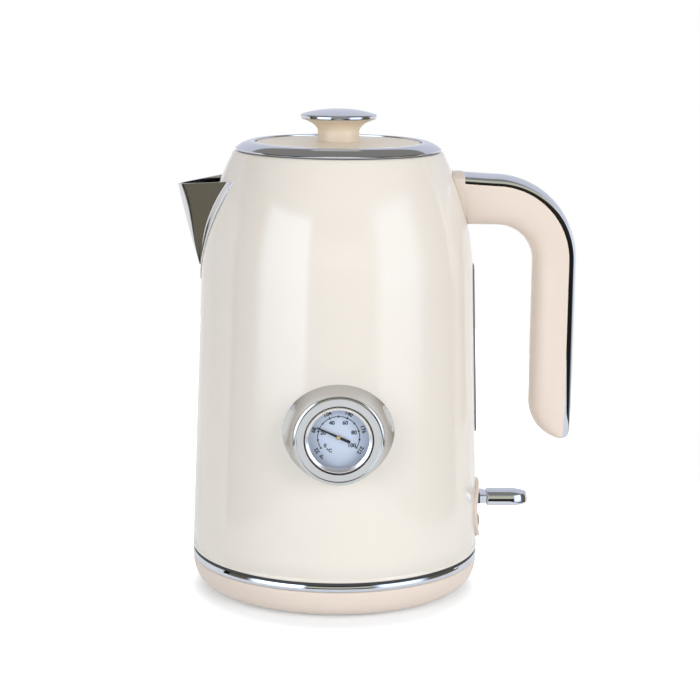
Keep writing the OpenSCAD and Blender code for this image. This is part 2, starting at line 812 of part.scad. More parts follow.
bezel_z = 38.9;
bezel_half = [20, 15.4];
lever_slot_w = 15.2;
lever_slot_low_z = 38.4;
lever_slot_top_z = 47.2;
lens_r = 4.5;
lens_z = 31;
rocker_half = 6.5;
rocker_t = 4;
paddle_t = 5.2;
paddle_crown = 1.9;
paddle_low_z = lever_z - 2.7;
neck_half = 7;
joint_x = 76.2;
paddle_x = 79.4;

module oval(inset) {
    translate([0, bezel_z]) polygon([for (a = [0 : 7.5 : 352.5])
        [(bezel_half[0] - inset) * cos(a), (bezel_half[1] - inset) * sin(a)]]);
}

// Oval plate around the switch, with a raised edge
module switch_bezel() {
    color(satin_cream) difference() {
        union() {
            intersection() {
                jug_skin(seat, 1.9, 22, 56);
                along_x(60, 90) difference() {
                    oval(0);
                    oval(2.2);
                }
            }
            intersection() {
                jug_skin(seat, 0.9, 22, 56);
                along_x(60, 90) oval(1.8);
            }
        }
        translate([60, -lever_slot_w / 2, lever_slot_low_z]) cube([20, lever_slot_w, lever_slot_top_z - lever_slot_low_z]);
        rod_x(lens_r + 0.1, 60, 80, 0, lens_z);
    }
}

module indicator_lens() {
    color([0.6, 0.3, 0.2, 0.8]) translate([72.6, 0, lens_z]) rotate([0, 90, 0]) rotate_extrude() polygon([
        [0, 0], [lens_r, 0], [lens_r, 3], [3.6, 3.5], [2, 3.8], [0, 3.9]]);
}

module indicator_lamp() {
    color([0.9, 0.5, 0.4]) rod_x(2.6, 62, 72.5, 0, lens_z);
}

// Round-ended outline of the paddle, seen from above
module paddle_outline(inset) {
    nose = paddle_w / 2 - inset;
    translate([paddle_x + inset, -nose]) square([lever_reach - paddle_w / 2 - paddle_x - inset, 2 * nose]);
    translate([lever_reach - paddle_w / 2, 0]) circle(r = nose);
}

// Round-nosed bar with a crowned top, and the neck that joins it to the rocker
module lever_paddle() {
    // Half of the section: the flank leans in towards the top, then the crown rises to the middle
    lean = 0.032;
    top_half = paddle_w / 2 - lean * paddle_t * paddle_t;
    side = concat(
        [for (i = [0 : 4])
            let (d = paddle_t * i / 4)
            [paddle_w / 2 - lean * d * d, paddle_low_z + d]],
        [for (i = [7 : -1 : 0])
            [top_half * i / 8, paddle_low_z + paddle_t + paddle_crown * (1 - i * i / 64)]]);
    color(chrome) {
        intersection() {
            union() {
                translate([0, 0, paddle_low_z + 0.8]) linear_extrude(10) paddle_outline(0);
                translate([0, 0, paddle_low_z]) linear_extrude(10) paddle_outline(0.8);
            }
            along_x(paddle_x, lever_reach) polygon(concat(side, [for (p = reversed(side)) [-p[0], p[1]]]));
        }
        translate([joint_x, -neck_half, paddle_low_z + 0.6]) cube([paddle_x - joint_x + 0.9, 2 * neck_half, 4.9]);
    }
}

// Black arm inside the switch with its cross pin
module lever_rocker() {
    color(black) {
        translate([58.4, -rocker_half, lever_z - rocker_t / 2]) cube([joint_x - 58.4, 2 * rocker_half, rocker_t]);
        translate([pivot_x, 0, lever_z]) rotate([90, 0, 0])
            cylinder(r = lever_pin_r, h = 2 * ear_out - 0.2, center = true);
    }
}

// ---------------------------------------------------------------- lid

lid_low_z = rim_z + gap;
disc_r = 42.6;
disc_z = lid_crest_z - 0.6;
cup_r = 44.6;
cup_low_z = 216.5;
cup_top_z = lid_low_z;
stem_low_z = disc_z + 0.4;
knob_neck_r = 10.6;
knob_screw_r = 2;
cap_low_z = knob_top_z - 4.8;

module lid_rim() {
    // Rounded outer edge, then a slope that eases into the flat crest
    slope = [for (t = [0 : 0.125 : 1])
        [lid_r - 7.4 * t, lid_low_z + 1.1 + (lid_crest_z - lid_low_z - 1.1) * (1 - pow(1 - t, 1.45))]];
    color(chrome) rotate_extrude() polygon(concat(
        [[disc_r, lid_low_z], [lid_r - 0.6, lid_low_z], [lid_r - 0.15, lid_low_z + 0.4]],
        slope,
        [[disc_r + 0.4, lid_crest_z], [disc_r, lid_crest_z - 0.4]]));
}

module lid_disc() {
    color(satin_cream) difference() {
        rotate_extrude() polygon([
            [0, lid_low_z], [disc_r - 0.05, lid_low_z], [disc_r - 0.05, disc_z], [32, disc_z + 0.25],
            [18, stem_low_z], [0, stem_low_z]]);
        translate([0, 0, lid_low_z - 1]) cylinder(r = knob_screw_r + 0.1, h = 10);
    }
}

module lid_cup() {
    color(steel) difference() {
        rotate_extrude() polygon([
            [0, cup_top_z - 1], [cup_r - 0.8, cup_top_z - 1], [cup_r - 0.8, cup_low_z], [cup_r, cup_low_z],
            [cup_r, cup_top_z], [0, cup_top_z]]);
        translate([0, 0, cup_top_z - 3]) cylinder(r = knob_screw_r + 0.1, h = 10);
    }
}

module lid_seal() {
    color([0.9, 0.9, 0.88]) rotate_extrude() polygon([
        [cup_r, 219], [mouth_r - 0.9, 219], [mouth_r - gap, 220.5], [mouth_r - gap, 221.5],
        [mouth_r - 0.9, 223], [cup_r, 223]]);
}

module knob_stem() {
    flare = [for (i = [0 : 8])
        let (t = i / 8)
        [knob_neck_r + (knob_r - 0.7 - knob_neck_r) * pow(t, 1.6), 237.4 + (cap_low_z - 0.3 - 237.4) * t]];
    color(satin_cream) rotate_extrude() polygon(concat(
        [[knob_screw_r, stem_low_z], [knob_neck_r + 0.8, stem_low_z], [knob_neck_r, stem_low_z + 0.8]],
        flare,
        [[knob_r - 0.7, cap_low_z], [0, cap_low_z], [0, 239.5], [knob_screw_r, 239.5]]));
}

module knob_cap() {
    dome = [for (k = [0.96, 0.88, 0.78, 0.66, 0.52, 0.36, 0.18])
        [knob_r * k, knob_top_z - 2.85 * pow(k, 2.2)]];
    color(chrome) rotate_extrude() polygon(concat(
        [[0, cap_low_z], [knob_r - 0.4, cap_low_z], [knob_r, cap_low_z + 0.4], [knob_r, cap_low_z + 1.4],
         [knob_r - 0.35, cap_low_z + 1.95]],
        dome, [[0, knob_top_z]]));
}

module knob_screw() {
    color(steel) {
        translate([0, 0, cup_top_z - 3.5]) cylinder(r = 4, h = 2.5);
        translate([0, 0, cup_top_z - 3.5]) cylinder(r = knob_screw_r, h = 239 - cup_top_z + 3.5);
    }
}

// ---------------------------------------------------------------- nodes

base_shell();
base_plate();
base_feet();
base_screws();
cord_bush();
base_terminal_block();
base_wires();
connector_housing();
connector_rings();
connector_pin();
jug_shell();
foot_ring();
bottom_cover();
cover_screws();
heater_plate();
heating_element();
thermostat_control();
boil_dry_discs();
coupler_socket();
coupler_contacts();
steam_switch();
steam_bimetal();
switch_carrier();
internal_wires();
steam_tube();
spout();
spout_flange();
filter_rails();
window_frame();
window_lens();
window_gasket();
handle_grip();
handle_trim();
handle_bracket();
handle_screws();
dial_housing();
dial_bezel();
dial_lens();
dial_face();
dial_case();
dial_stem();
dial_washer();
dial_nut();
switch_bezel();
indicator_lens();
indicator_lamp();
filter_frame();
filter_mesh();
lid_rim();
lid_disc();
lid_cup();
lid_seal();
knob_stem();
knob_cap();
knob_screw();
lever_paddle();
lever_rocker();
needle_pointer();
needle_hub();
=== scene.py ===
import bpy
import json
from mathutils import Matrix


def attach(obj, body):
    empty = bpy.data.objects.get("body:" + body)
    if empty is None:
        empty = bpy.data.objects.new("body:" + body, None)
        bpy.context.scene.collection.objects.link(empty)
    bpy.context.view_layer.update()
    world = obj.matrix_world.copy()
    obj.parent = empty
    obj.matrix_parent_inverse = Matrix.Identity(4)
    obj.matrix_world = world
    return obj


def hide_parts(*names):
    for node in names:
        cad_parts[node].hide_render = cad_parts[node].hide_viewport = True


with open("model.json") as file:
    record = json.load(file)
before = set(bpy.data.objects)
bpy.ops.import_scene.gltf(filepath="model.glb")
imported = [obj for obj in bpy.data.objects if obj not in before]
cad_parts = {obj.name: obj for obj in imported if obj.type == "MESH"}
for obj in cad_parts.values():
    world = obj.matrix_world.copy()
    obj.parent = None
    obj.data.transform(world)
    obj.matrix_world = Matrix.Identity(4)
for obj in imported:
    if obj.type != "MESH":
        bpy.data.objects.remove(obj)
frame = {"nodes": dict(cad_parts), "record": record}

"""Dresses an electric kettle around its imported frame.

Shapes are worked out in millimetres in the row frame: the jug's axis is Z, the spout points to -X,
the handle to +X and the thermometer to -Y. ``make_piece`` turns them into metres.
"""
import json
import logging
import math
from dataclasses import dataclass
from enum import Enum

import bmesh
import bpy
import numpy as np
from mathutils import Matrix

Floats = np.ndarray
Colour = tuple[float, float, float]
MM = 0.001
BODY_OF: dict[str, str] = {
    node: body for body, nodes in frame["record"]["behaviour"]["bodies"].items() for node in nodes}
SLOT_OF: dict[str, str] = {part["node"]: part["material_slot"] for part in frame["record"]["subparts"]}
log = logging.getLogger("kettle")


class Side(Enum):
    """A side of the jug on which something lies against its wall."""

    HANDLE = 1.0
    SPOUT = -1.0


# ------------------------------------------------------------------ outlines and lattices

def rounded(corners: list[tuple[float, float]], radii: float | list[float], steps: int = 7) -> Floats:
    """Rounds the corners of a closed outline.

    Each corner becomes points on the circle that touches both of its sides: the circle's centre lies
    on the bisector, at radius over the sine of half the corner's angle.

    Args:
        corners: The outline's corners in order.
        radii: One radius for all of the corners, or one for each.
        steps: Points on each arc.

    Returns:
        The closed outline as an array of points, with no point twice in a row.
    """
    c = np.asarray(corners, float)
    r = np.broadcast_to(np.asarray(radii, float), len(c))[:, None]
    back, on = np.roll(c, 1, 0) - c, np.roll(c, -1, 0) - c
    u = back / np.linalg.norm(back, axis=1)[:, None]
    v = on / np.linalg.norm(on, axis=1)[:, None]
    half = np.arccos(np.clip((u * v).sum(1), -0.99999, 0.99999))[:, None] / 2
    middle = c + (u + v) / np.maximum(np.linalg.norm(u + v, axis=1)[:, None], 1e-9) * r / np.sin(half)
    first, last = c + u * r / np.tan(half) - middle, c + v * r / np.tan(half) - middle
    a, b = np.arctan2(first[:, 1], first[:, 0]), np.arctan2(last[:, 1], last[:, 0])
    turn = (b - a + np.pi) % (2 * np.pi) - np.pi
    t = a[:, None] + turn[:, None] * np.linspace(0, 1, steps)
    points = (middle[:, None] + r[:, None] * np.stack([np.cos(t), np.sin(t)], -1)).reshape(-1, 2)
    return points[np.linalg.norm(points - np.roll(points, 1, 0), axis=1) > 1e-5]


def resampled(path: Floats, count: int) -> Floats:
    """Points at equal distances along an open path, by linear interpolation over its length.

    Args:
        path: Points of the path.
        count: Points wanted.

    Returns:
        The new points.
    """
    run = np.concatenate([[0], np.cumsum(np.linalg.norm(np.diff(path, axis=0), axis=1))])
    t = np.linspace(0, run[-1], count)
    return np.stack([np.interp(t, run, path[:, k]) for k in range(path.shape[1])], -1)


@dataclass
class Shape:
    """Points in millimetres and the faces between them."""

    points: Floats
    faces: list[list[int]]

    def __add__(self, other: "Shape") -> "Shape":
        """Both shapes as one."""
        shift = len(self.points)
        return Shape(np.concatenate([self.points, other.points]),
                     self.faces + [[k + shift for k in face] for face in other.faces])


def lattice(points: Floats, close_rows: bool = False, close_cols: bool = False) -> Shape:
    """The shape of a (rows, cols, 3) lattice of points, with quads between neighbours.

    Args:
        points: The lattice.
        close_rows: Whether the last row joins the first.
        close_cols: Whether each row's last point joins its first.

    Returns:
        The shape.
    """
    rows, cols = points.shape[:2]
    i = np.arange(rows if close_rows else rows - 1)[:, None]
    j = np.arange(cols if close_cols else cols - 1)[None]
    i2, j2 = (i + 1) % rows, (j + 1) % cols
    faces = np.stack([i * cols + j, i * cols + j2, i2 * cols + j2, i2 * cols + j], -1).reshape(-1, 4)
    return Shape(points.reshape(-1, 3), faces.tolist())


def circle(count: int) -> Floats:
    """Points of the unit circle."""
    a = np.linspace(0, 2 * np.pi, count, endpoint=False)
    return np.stack([np.cos(a), np.sin(a)], -1)


def lofted(rings: Floats) -> Shape:
    """A closed solid through rings of points.

    Each end ring is drawn in to its own middle point, which closes the end.

    Args:
        rings: (rings, points, 3), all in step.

    Returns:
        The solid.
    """
    ends = rings[[0, -1]].mean(1, keepdims=True) + 0 * rings[[0, -1]]
    return lattice(np.concatenate([ends[:1], rings, ends[1:]]), close_cols=True)


def turned(outline: Floats, segments: int = 192) -> Shape:
    """Turns a closed outline of (radius, height) points about Z.

    A point goes to (radius cos a, radius sin a, height) for angles a all round.

    Args:
        outline: The outline.
        segments: Angles round the axis.

    Returns:
        The turned solid.
    """
    a = np.linspace(0, 2 * np.pi, segments, endpoint=False)[:, None]
    r, z = outline[None, :, 0], outline[None, :, 1]
    return lattice(np.stack([r * np.cos(a), r * np.sin(a), z + 0 * a], -1), True, True)


def prism(outline: Floats, low: float, high: float) -> Shape:
    """A straight solid along Z over a closed outline of (x, y) points, from low to high."""
    flat = np.concatenate([outline, 0 * outline[:, :1]], 1)
    return lofted(np.stack([flat + [0, 0, low], flat + [0, 0, high]]))


def moved(shape: Shape, rows: list[list[float]], shift: tuple[float, float, float] = (0, 0, 0)) -> Shape:
    """The shape with each point taken through a 3 by 3 matrix and then shifted."""
    return Shape(shape.points @ np.asarray(rows, float).T + shift, shape.faces)


Y_FORWARD = [[1, 0, 0], [0, 0, -1], [0, 1, 0]]
"""Takes a shape's own Z to the row's -Y, and its Y to the row's Z."""
X_FORWARD = [[0, 0, 1], [1, 0, 0], [0, 1, 0]]
"""Takes a shape's own Z to the row's +X, its X to Y and its Y to Z."""
X_BACKWARD = [[0, 0, -1], [1, 0, 0], [0, 1, 0]]
"""Takes a shape's own Z to the row's -X, its X to Y and its Y to Z."""
Y_BACKWARD = [[1, 0, 0], [0, 0, 1], [0, 1, 0]]
"""Takes a shape's own Z to the row's +Y, and its Y to the row's Z."""


def mesh_of(name: str, shape: Shape) -> bpy.types.Mesh:
    """A tidy Blender mesh of a shape, in metres.

    Points that meet at poles and seams are merged, and faces point outwards.

    Args:
        name: The mesh's name.
        shape: The shape in millimetres.

    Returns:
        The mesh.
    """
    mesh = bpy.data.meshes.new(name)
    mesh.from_pydata((shape.points * MM).tolist(), [], shape.faces)
    bm = bmesh.new()
    bm.from_mesh(mesh)
    bmesh.ops.remove_doubles(bm, verts=bm.verts, dist=2e-6)
    bmesh.ops.dissolve_degenerate(bm, edges=bm.edges, dist=1e-6)
    bmesh.ops.recalc_face_normals(bm, faces=bm.faces)
    bm.to_mesh(mesh)
    bm.free()
    return mesh


def linked(name: str, data: bpy.types.ID) -> bpy.types.Object:
    """A new object of the scene."""
    obj = bpy.data.objects.new(name, data)
    bpy.context.scene.collection.objects.link(obj)
    return obj


def evaluated(obj: bpy.types.Object) -> bpy.types.Mesh:
    """What an object's modifiers or letters make of it, as a new mesh."""
    bpy.context.view_layer.update()
    return bpy.data.meshes.new_from_object(obj.evaluated_get(bpy.context.evaluated_depsgraph_get()))


def applied(obj: bpy.types.Object) -> None:
    """Replaces an object's mesh by what its modifiers make of it."""
    done = evaluated(obj)
    obj.modifiers.clear()
    obj.data = done


def make_piece(name: str, shape: Shape, finish: "Finish", node: str = "",
               cutters: tuple[Shape, ...] = (), crease: float = 35.0) -> bpy.types.Object:
    """Makes one visible piece and hangs it on its body.

    Args:
        name: The piece's name.
        shape: Its shape in millimetres.
        finish: Its finish.
        node: The node that it stands for, which settles its body.
        cutters: Shapes that are cut out of it.
        crease: Angle in degrees above which an edge stays sharp.

    Returns:
        The object.
    """
    obj = linked(name, mesh_of(name, shape))
    tools = [linked(f"{name}_cutter_{index}", mesh_of("cutter", cutter))
             for index, cutter in enumerate(cutters)]
    for tool in tools:
        cut = obj.modifiers.new("cut", "BOOLEAN")
        cut.operation, cut.solver, cut.object = "DIFFERENCE", "EXACT", tool
    if tools:
        applied(obj)
    for tool in tools:
        bpy.data.objects.remove(tool)
    obj.data.shade_smooth()
    obj.data.set_sharp_from_angle(angle=math.radians(crease))
    obj.data.materials.clear()
    obj.data.materials.append(finish.material())
    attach(obj, BODY_OF.get(node, "jug"))
    if node:
        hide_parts(node)
    log.info("%s: %d faces on %s", name, len(obj.data.polygons), BODY_OF.get(node, "jug"))
    return obj


# ------------------------------------------------------------------ finishes

class Groups:
    """Shader node groups that several finishes share, each built once."""

    made: dict[str, bpy.types.NodeTree] = {}

    @classmethod
    def built(cls, name: str, kinds: dict[str, str], output: str, detail: float,
              distortion: float = 0.0) -> tuple:
        """A new group around a noise that reads its Vector at its Scale.

        Args:
            name: The group's name.
            kinds: Socket kind by input name, besides Vector and Scale.
            output: Name of the output, of the kind "Color" or "Float".
            detail: The noise's detail.
            distortion: The noise's distortion.

        Returns:
            The tree, its input node, its noise and its output node.
        """
        tree = bpy.data.node_groups.new(name, "ShaderNodeTree")
        for label, kind in {"Vector": "Vector", "Scale": "Float", **kinds}.items():
            tree.interface.new_socket(label, in_out="INPUT", socket_type=f"NodeSocket{kind}")
        tree.interface.new_socket(output, in_out="OUTPUT",
                                  socket_type="NodeSocketColor" if output == "Color" else "NodeSocketFloat")
        cls.made[name] = tree
        into, noise = tree.nodes.new("NodeGroupInput"), tree.nodes.new("ShaderNodeTexNoise")
        noise.inputs["Detail"].default_value = detail
        noise.inputs["Distortion"].default_value = distortion
        tree.links.new(into.outputs["Vector"], noise.inputs["Vector"])
        tree.links.new(into.outputs["Scale"], noise.inputs["Scale"])
        return tree, into, noise, tree.nodes.new("NodeGroupOutput")

    @classmethod
    def tone(cls) -> bpy.types.NodeTree:
        """Group that drifts between two colours by a soft noise."""
        if "tone" not in cls.made:
            tree, into, noise, out = cls.built("tone", {"First": "Color", "Second": "Color"}, "Color", 3.0)
            mix, link = tree.nodes.new("ShaderNodeMix"), tree.links.new
            mix.data_type = "RGBA"
            link(noise.outputs["Fac"], mix.inputs["Factor"])
            link(into.outputs["First"], mix.inputs["A"])
            link(into.outputs["Second"], mix.inputs["B"])
            link(mix.outputs["Result"], out.inputs["Color"])
        return cls.made["tone"]

    @classmethod
    def polish(cls) -> bpy.types.NodeTree:
        """Group that gives a roughness between two values, in soft smears."""
        if "polish" not in cls.made:
            tree, into, noise, out = cls.built(
                "polish", {"Low": "Float", "High": "Float"}, "Roughness", 4.0, 0.6)
            span, link = tree.nodes.new("ShaderNodeMapRange"), tree.links.new
            span.inputs["From Min"].default_value, span.inputs["From Max"].default_value = 0.3, 0.7
            link(noise.outputs["Fac"], span.inputs["Value"])
            link(into.outputs["Low"], span.inputs["To Min"])
            link(into.outputs["High"], span.inputs["To Max"])
            link(span.outputs["Result"], out.inputs["Roughness"])
        return cls.made["polish"]

    @classmethod
    def grain(cls) -> bpy.types.NodeTree:
        """Group that gives the height of a grain, drawn out by a stretch along each axis."""
        if "grain" not in cls.made:
            tree, into, noise, out = cls.built("grain", {"Stretch": "Vector"}, "Height", 2.0)
            scale, link = tree.nodes.new("ShaderNodeVectorMath"), tree.links.new
            scale.operation = "MULTIPLY"
            link(into.outputs["Vector"], scale.inputs[0])
            link(into.outputs["Stretch"], scale.inputs[1])
            link(scale.outputs["Vector"], noise.inputs["Vector"])
            link(noise.outputs["Fac"], out.inputs["Height"])
        return cls.made["grain"]


@dataclass(frozen=True)
class Finish:
    """How a surface looks: colours, polish and a fine relief, all over Object coordinates."""

    name: str
    first: Colour
    second: Colour
    rough: tuple[float, float]
    metal: float = 0.0
    tone_scale: float = 40.0
    grain_scale: float = 900.0
    grain_depth: float = 0.00002
    stretch: tuple[float, float, float] = (1.0, 1.0, 1.0)
    clear: float = 0.0
    ior: float = 1.5
    sheer: bool = False

    def material(self) -> bpy.types.Material:
        """Builds the finish's material, or gives the one already built.

        Returns:
            The material.
        """
        if self.name in bpy.data.materials:
            return bpy.data.materials[self.name]
        mat = bpy.data.materials.new(self.name)
        mat.use_nodes = True
        nodes, link = mat.node_tree.nodes, mat.node_tree.links.new
        shader = nodes["Principled BSDF"]
        where = nodes.new("ShaderNodeTexCoord").outputs["Object"]

        def placed(group: bpy.types.NodeTree, **values: object) -> bpy.types.Node:
            """The group in this material, read at the surface's own place."""
            node = nodes.new("ShaderNodeGroup")
            node.node_tree = group
            link(where, node.inputs["Vector"])
            for label, value in values.items():
                node.inputs[label].default_value = value
            return node

        tone = placed(Groups.tone(), Scale=self.tone_scale, First=(*self.first, 1), Second=(*self.second, 1))
        polish = placed(Groups.polish(), Scale=self.tone_scale * 1.7, Low=self.rough[0], High=self.rough[1])
        grain = placed(Groups.grain(), Scale=self.grain_scale, Stretch=self.stretch)
        bump = nodes.new("ShaderNodeBump")
        bump.inputs["Distance"].default_value = self.grain_depth
        link(grain.outputs["Height"], bump.inputs["Height"])
        link(tone.outputs["Color"], shader.inputs["Base Color"])
        link(polish.outputs["Roughness"], shader.inputs["Roughness"])
        link(bump.outputs["Normal"], shader.inputs["Normal"])
        shader.inputs["Metallic"].default_value = self.metal
        shader.inputs["IOR"].default_value = self.ior
        shader.inputs["Transmission Weight"].default_value = self.clear
        if self.sheer:
            share = nodes.new("ShaderNodeFresnel")
            share.inputs["IOR"].default_value = self.ior
            link(share.outputs["Fac"], shader.inputs["Alpha"])
        return mat


ENAMEL = Finish("cream_enamel", (0.85, 0.797, 0.722), (0.84, 0.787, 0.712), (0.07, 0.10), grain_scale=500,
                grain_depth=0.000003)
SATIN = Finish("cream_satin_plastic", (0.81, 0.70, 0.615), (0.80, 0.69, 0.605), (0.38, 0.44), grain_scale=2600,
               grain_depth=0.00001)
SOFT_CHROME = Finish("soft_chrome", (0.80, 0.76, 0.73), (0.77, 0.73, 0.70), (0.22, 0.28), metal=1.0,
                     grain_scale=600, grain_depth=0.000001)
# The lid disc's cream: the same cream plastic made lighter and yellower, painting the light that falls on the
# lid's top.
LID_SATIN_LIT = Finish("lid_plastic_painted_light", (0.88, 0.785, 0.65), (0.87, 0.775, 0.64), (0.34, 0.40),
                   grain_scale=2600, grain_depth=0.00001)
# The knob stem's cream: the same cream plastic made darker and browner, painting the shade that the cap casts
# on the stem.
STEM_SHADED = Finish("knob_plastic_painted_shade", (0.76, 0.66, 0.53), (0.75, 0.65, 0.52), (0.36, 0.42), grain_scale=2600,
              grain_depth=0.00001)
CHROME = Finish("bright_chrome", (0.62, 0.64, 0.69), (0.60, 0.62, 0.67), (0.02, 0.05), metal=1.0, tone_scale=60,
                grain_scale=300, grain_depth=0.000001)
NICKEL = Finish("bright_nickel", (0.60, 0.60, 0.60), (0.57, 0.57, 0.57), (0.03, 0.06), metal=1.0, tone_scale=60,
                grain_scale=300, grain_depth=0.000001)
SPOUT_STEEL = Finish("polished_steel", (0.66, 0.65, 0.64), (0.62, 0.61, 0.60), (0.05, 0.09), metal=1.0,
                     grain_scale=600, grain_depth=0.000002, stretch=(0.2, 0.2, 3.0))
STEEL = Finish("plain_steel", (0.56, 0.56, 0.56), (0.50, 0.50, 0.51), (0.22, 0.34), metal=1.0,
               grain_scale=1800, grain_depth=0.00001, stretch=(1.0, 1.0, 0.05))
ALUMINIUM = Finish("cast_aluminium", (0.62, 0.62, 0.62), (0.54, 0.54, 0.55), (0.35, 0.5), metal=1.0,
                   grain_scale=1200, grain_depth=0.00003)
BRASS = Finish("bare_brass", (0.80, 0.58, 0.26), (0.72, 0.50, 0.20), (0.18, 0.28), metal=1.0)
BLACK = Finish("black_plastic", (0.022, 0.022, 0.023), (0.030, 0.030, 0.031), (0.35, 0.48), grain_scale=2400,
               grain_depth=0.00002)
IVORY = Finish("ivory_plastic", (0.72, 0.71, 0.66), (0.68, 0.67, 0.62), (0.4, 0.5))
SMOKED = Finish("smoked_plastic", (0.20, 0.205, 0.21), (0.17, 0.175, 0.18), (0.12, 0.2), grain_depth=0.000004)
CLEAR = Finish("clear_plastic", (0.80, 0.82, 0.83), (0.78, 0.80, 0.81), (0.04, 0.08), clear=0.85, ior=1.49,
               grain_depth=0.000002)
AMBER = Finish("amber_lens", (0.28, 0.12, 0.08), (0.24, 0.10, 0.06), (0.08, 0.14), clear=0.3,
               grain_depth=0.000002)
GLASS = Finish("clear_dial_glass", (0.97, 0.98, 1.0), (0.96, 0.97, 1.0), (0.0, 0.01), metal=1.0, sheer=True,
               ior=1.22, grain_depth=0.0)
CARD = Finish("dial_card", (0.66, 0.745, 0.90), (0.64, 0.725, 0.88), (0.4, 0.5), tone_scale=160,
              grain_scale=1500, grain_depth=0.000004)
INK = Finish("dial_ink", (0.025, 0.03, 0.045), (0.035, 0.04, 0.06), (0.5, 0.6), tone_scale=900, ior=1.3)
NEEDLE = Finish("pointer_black", (0.006, 0.006, 0.008), (0.010, 0.010, 0.012), (0.3, 0.4), tone_scale=300,
                ior=1.3)
SILICONE = Finish("pale_silicone", (0.66, 0.66, 0.64), (0.62, 0.62, 0.60), (0.45, 0.6), grain_scale=1500)
RUBBER = Finish("foot_rubber", (0.03, 0.03, 0.03), (0.04, 0.04, 0.04), (0.6, 0.75), grain_scale=1800,
                grain_depth=0.00005)
WIRE = Finish("wire_insulation", (0.20, 0.09, 0.04), (0.17, 0.07, 0.03), (0.3, 0.4))

BY_SLOT: dict[str, Finish] = {
    "cream_paint": ENAMEL, "cream_plastic": SATIN, "chrome": CHROME, "polished_steel": SPOUT_STEEL,
    "plain_steel": STEEL, "aluminium": ALUMINIUM, "brass": BRASS, "black_plastic": BLACK,
    "white_plastic": IVORY, "grey_plastic": SMOKED, "clear_plastic": CLEAR, "amber_plastic": AMBER,
    "dial_glass": GLASS, "dial_paint": CARD, "needle_black": NEEDLE, "silicone": SILICONE, "rubber": RUBBER,
    "wire_brown": WIRE,
}


# ------------------------------------------------------------------ jug

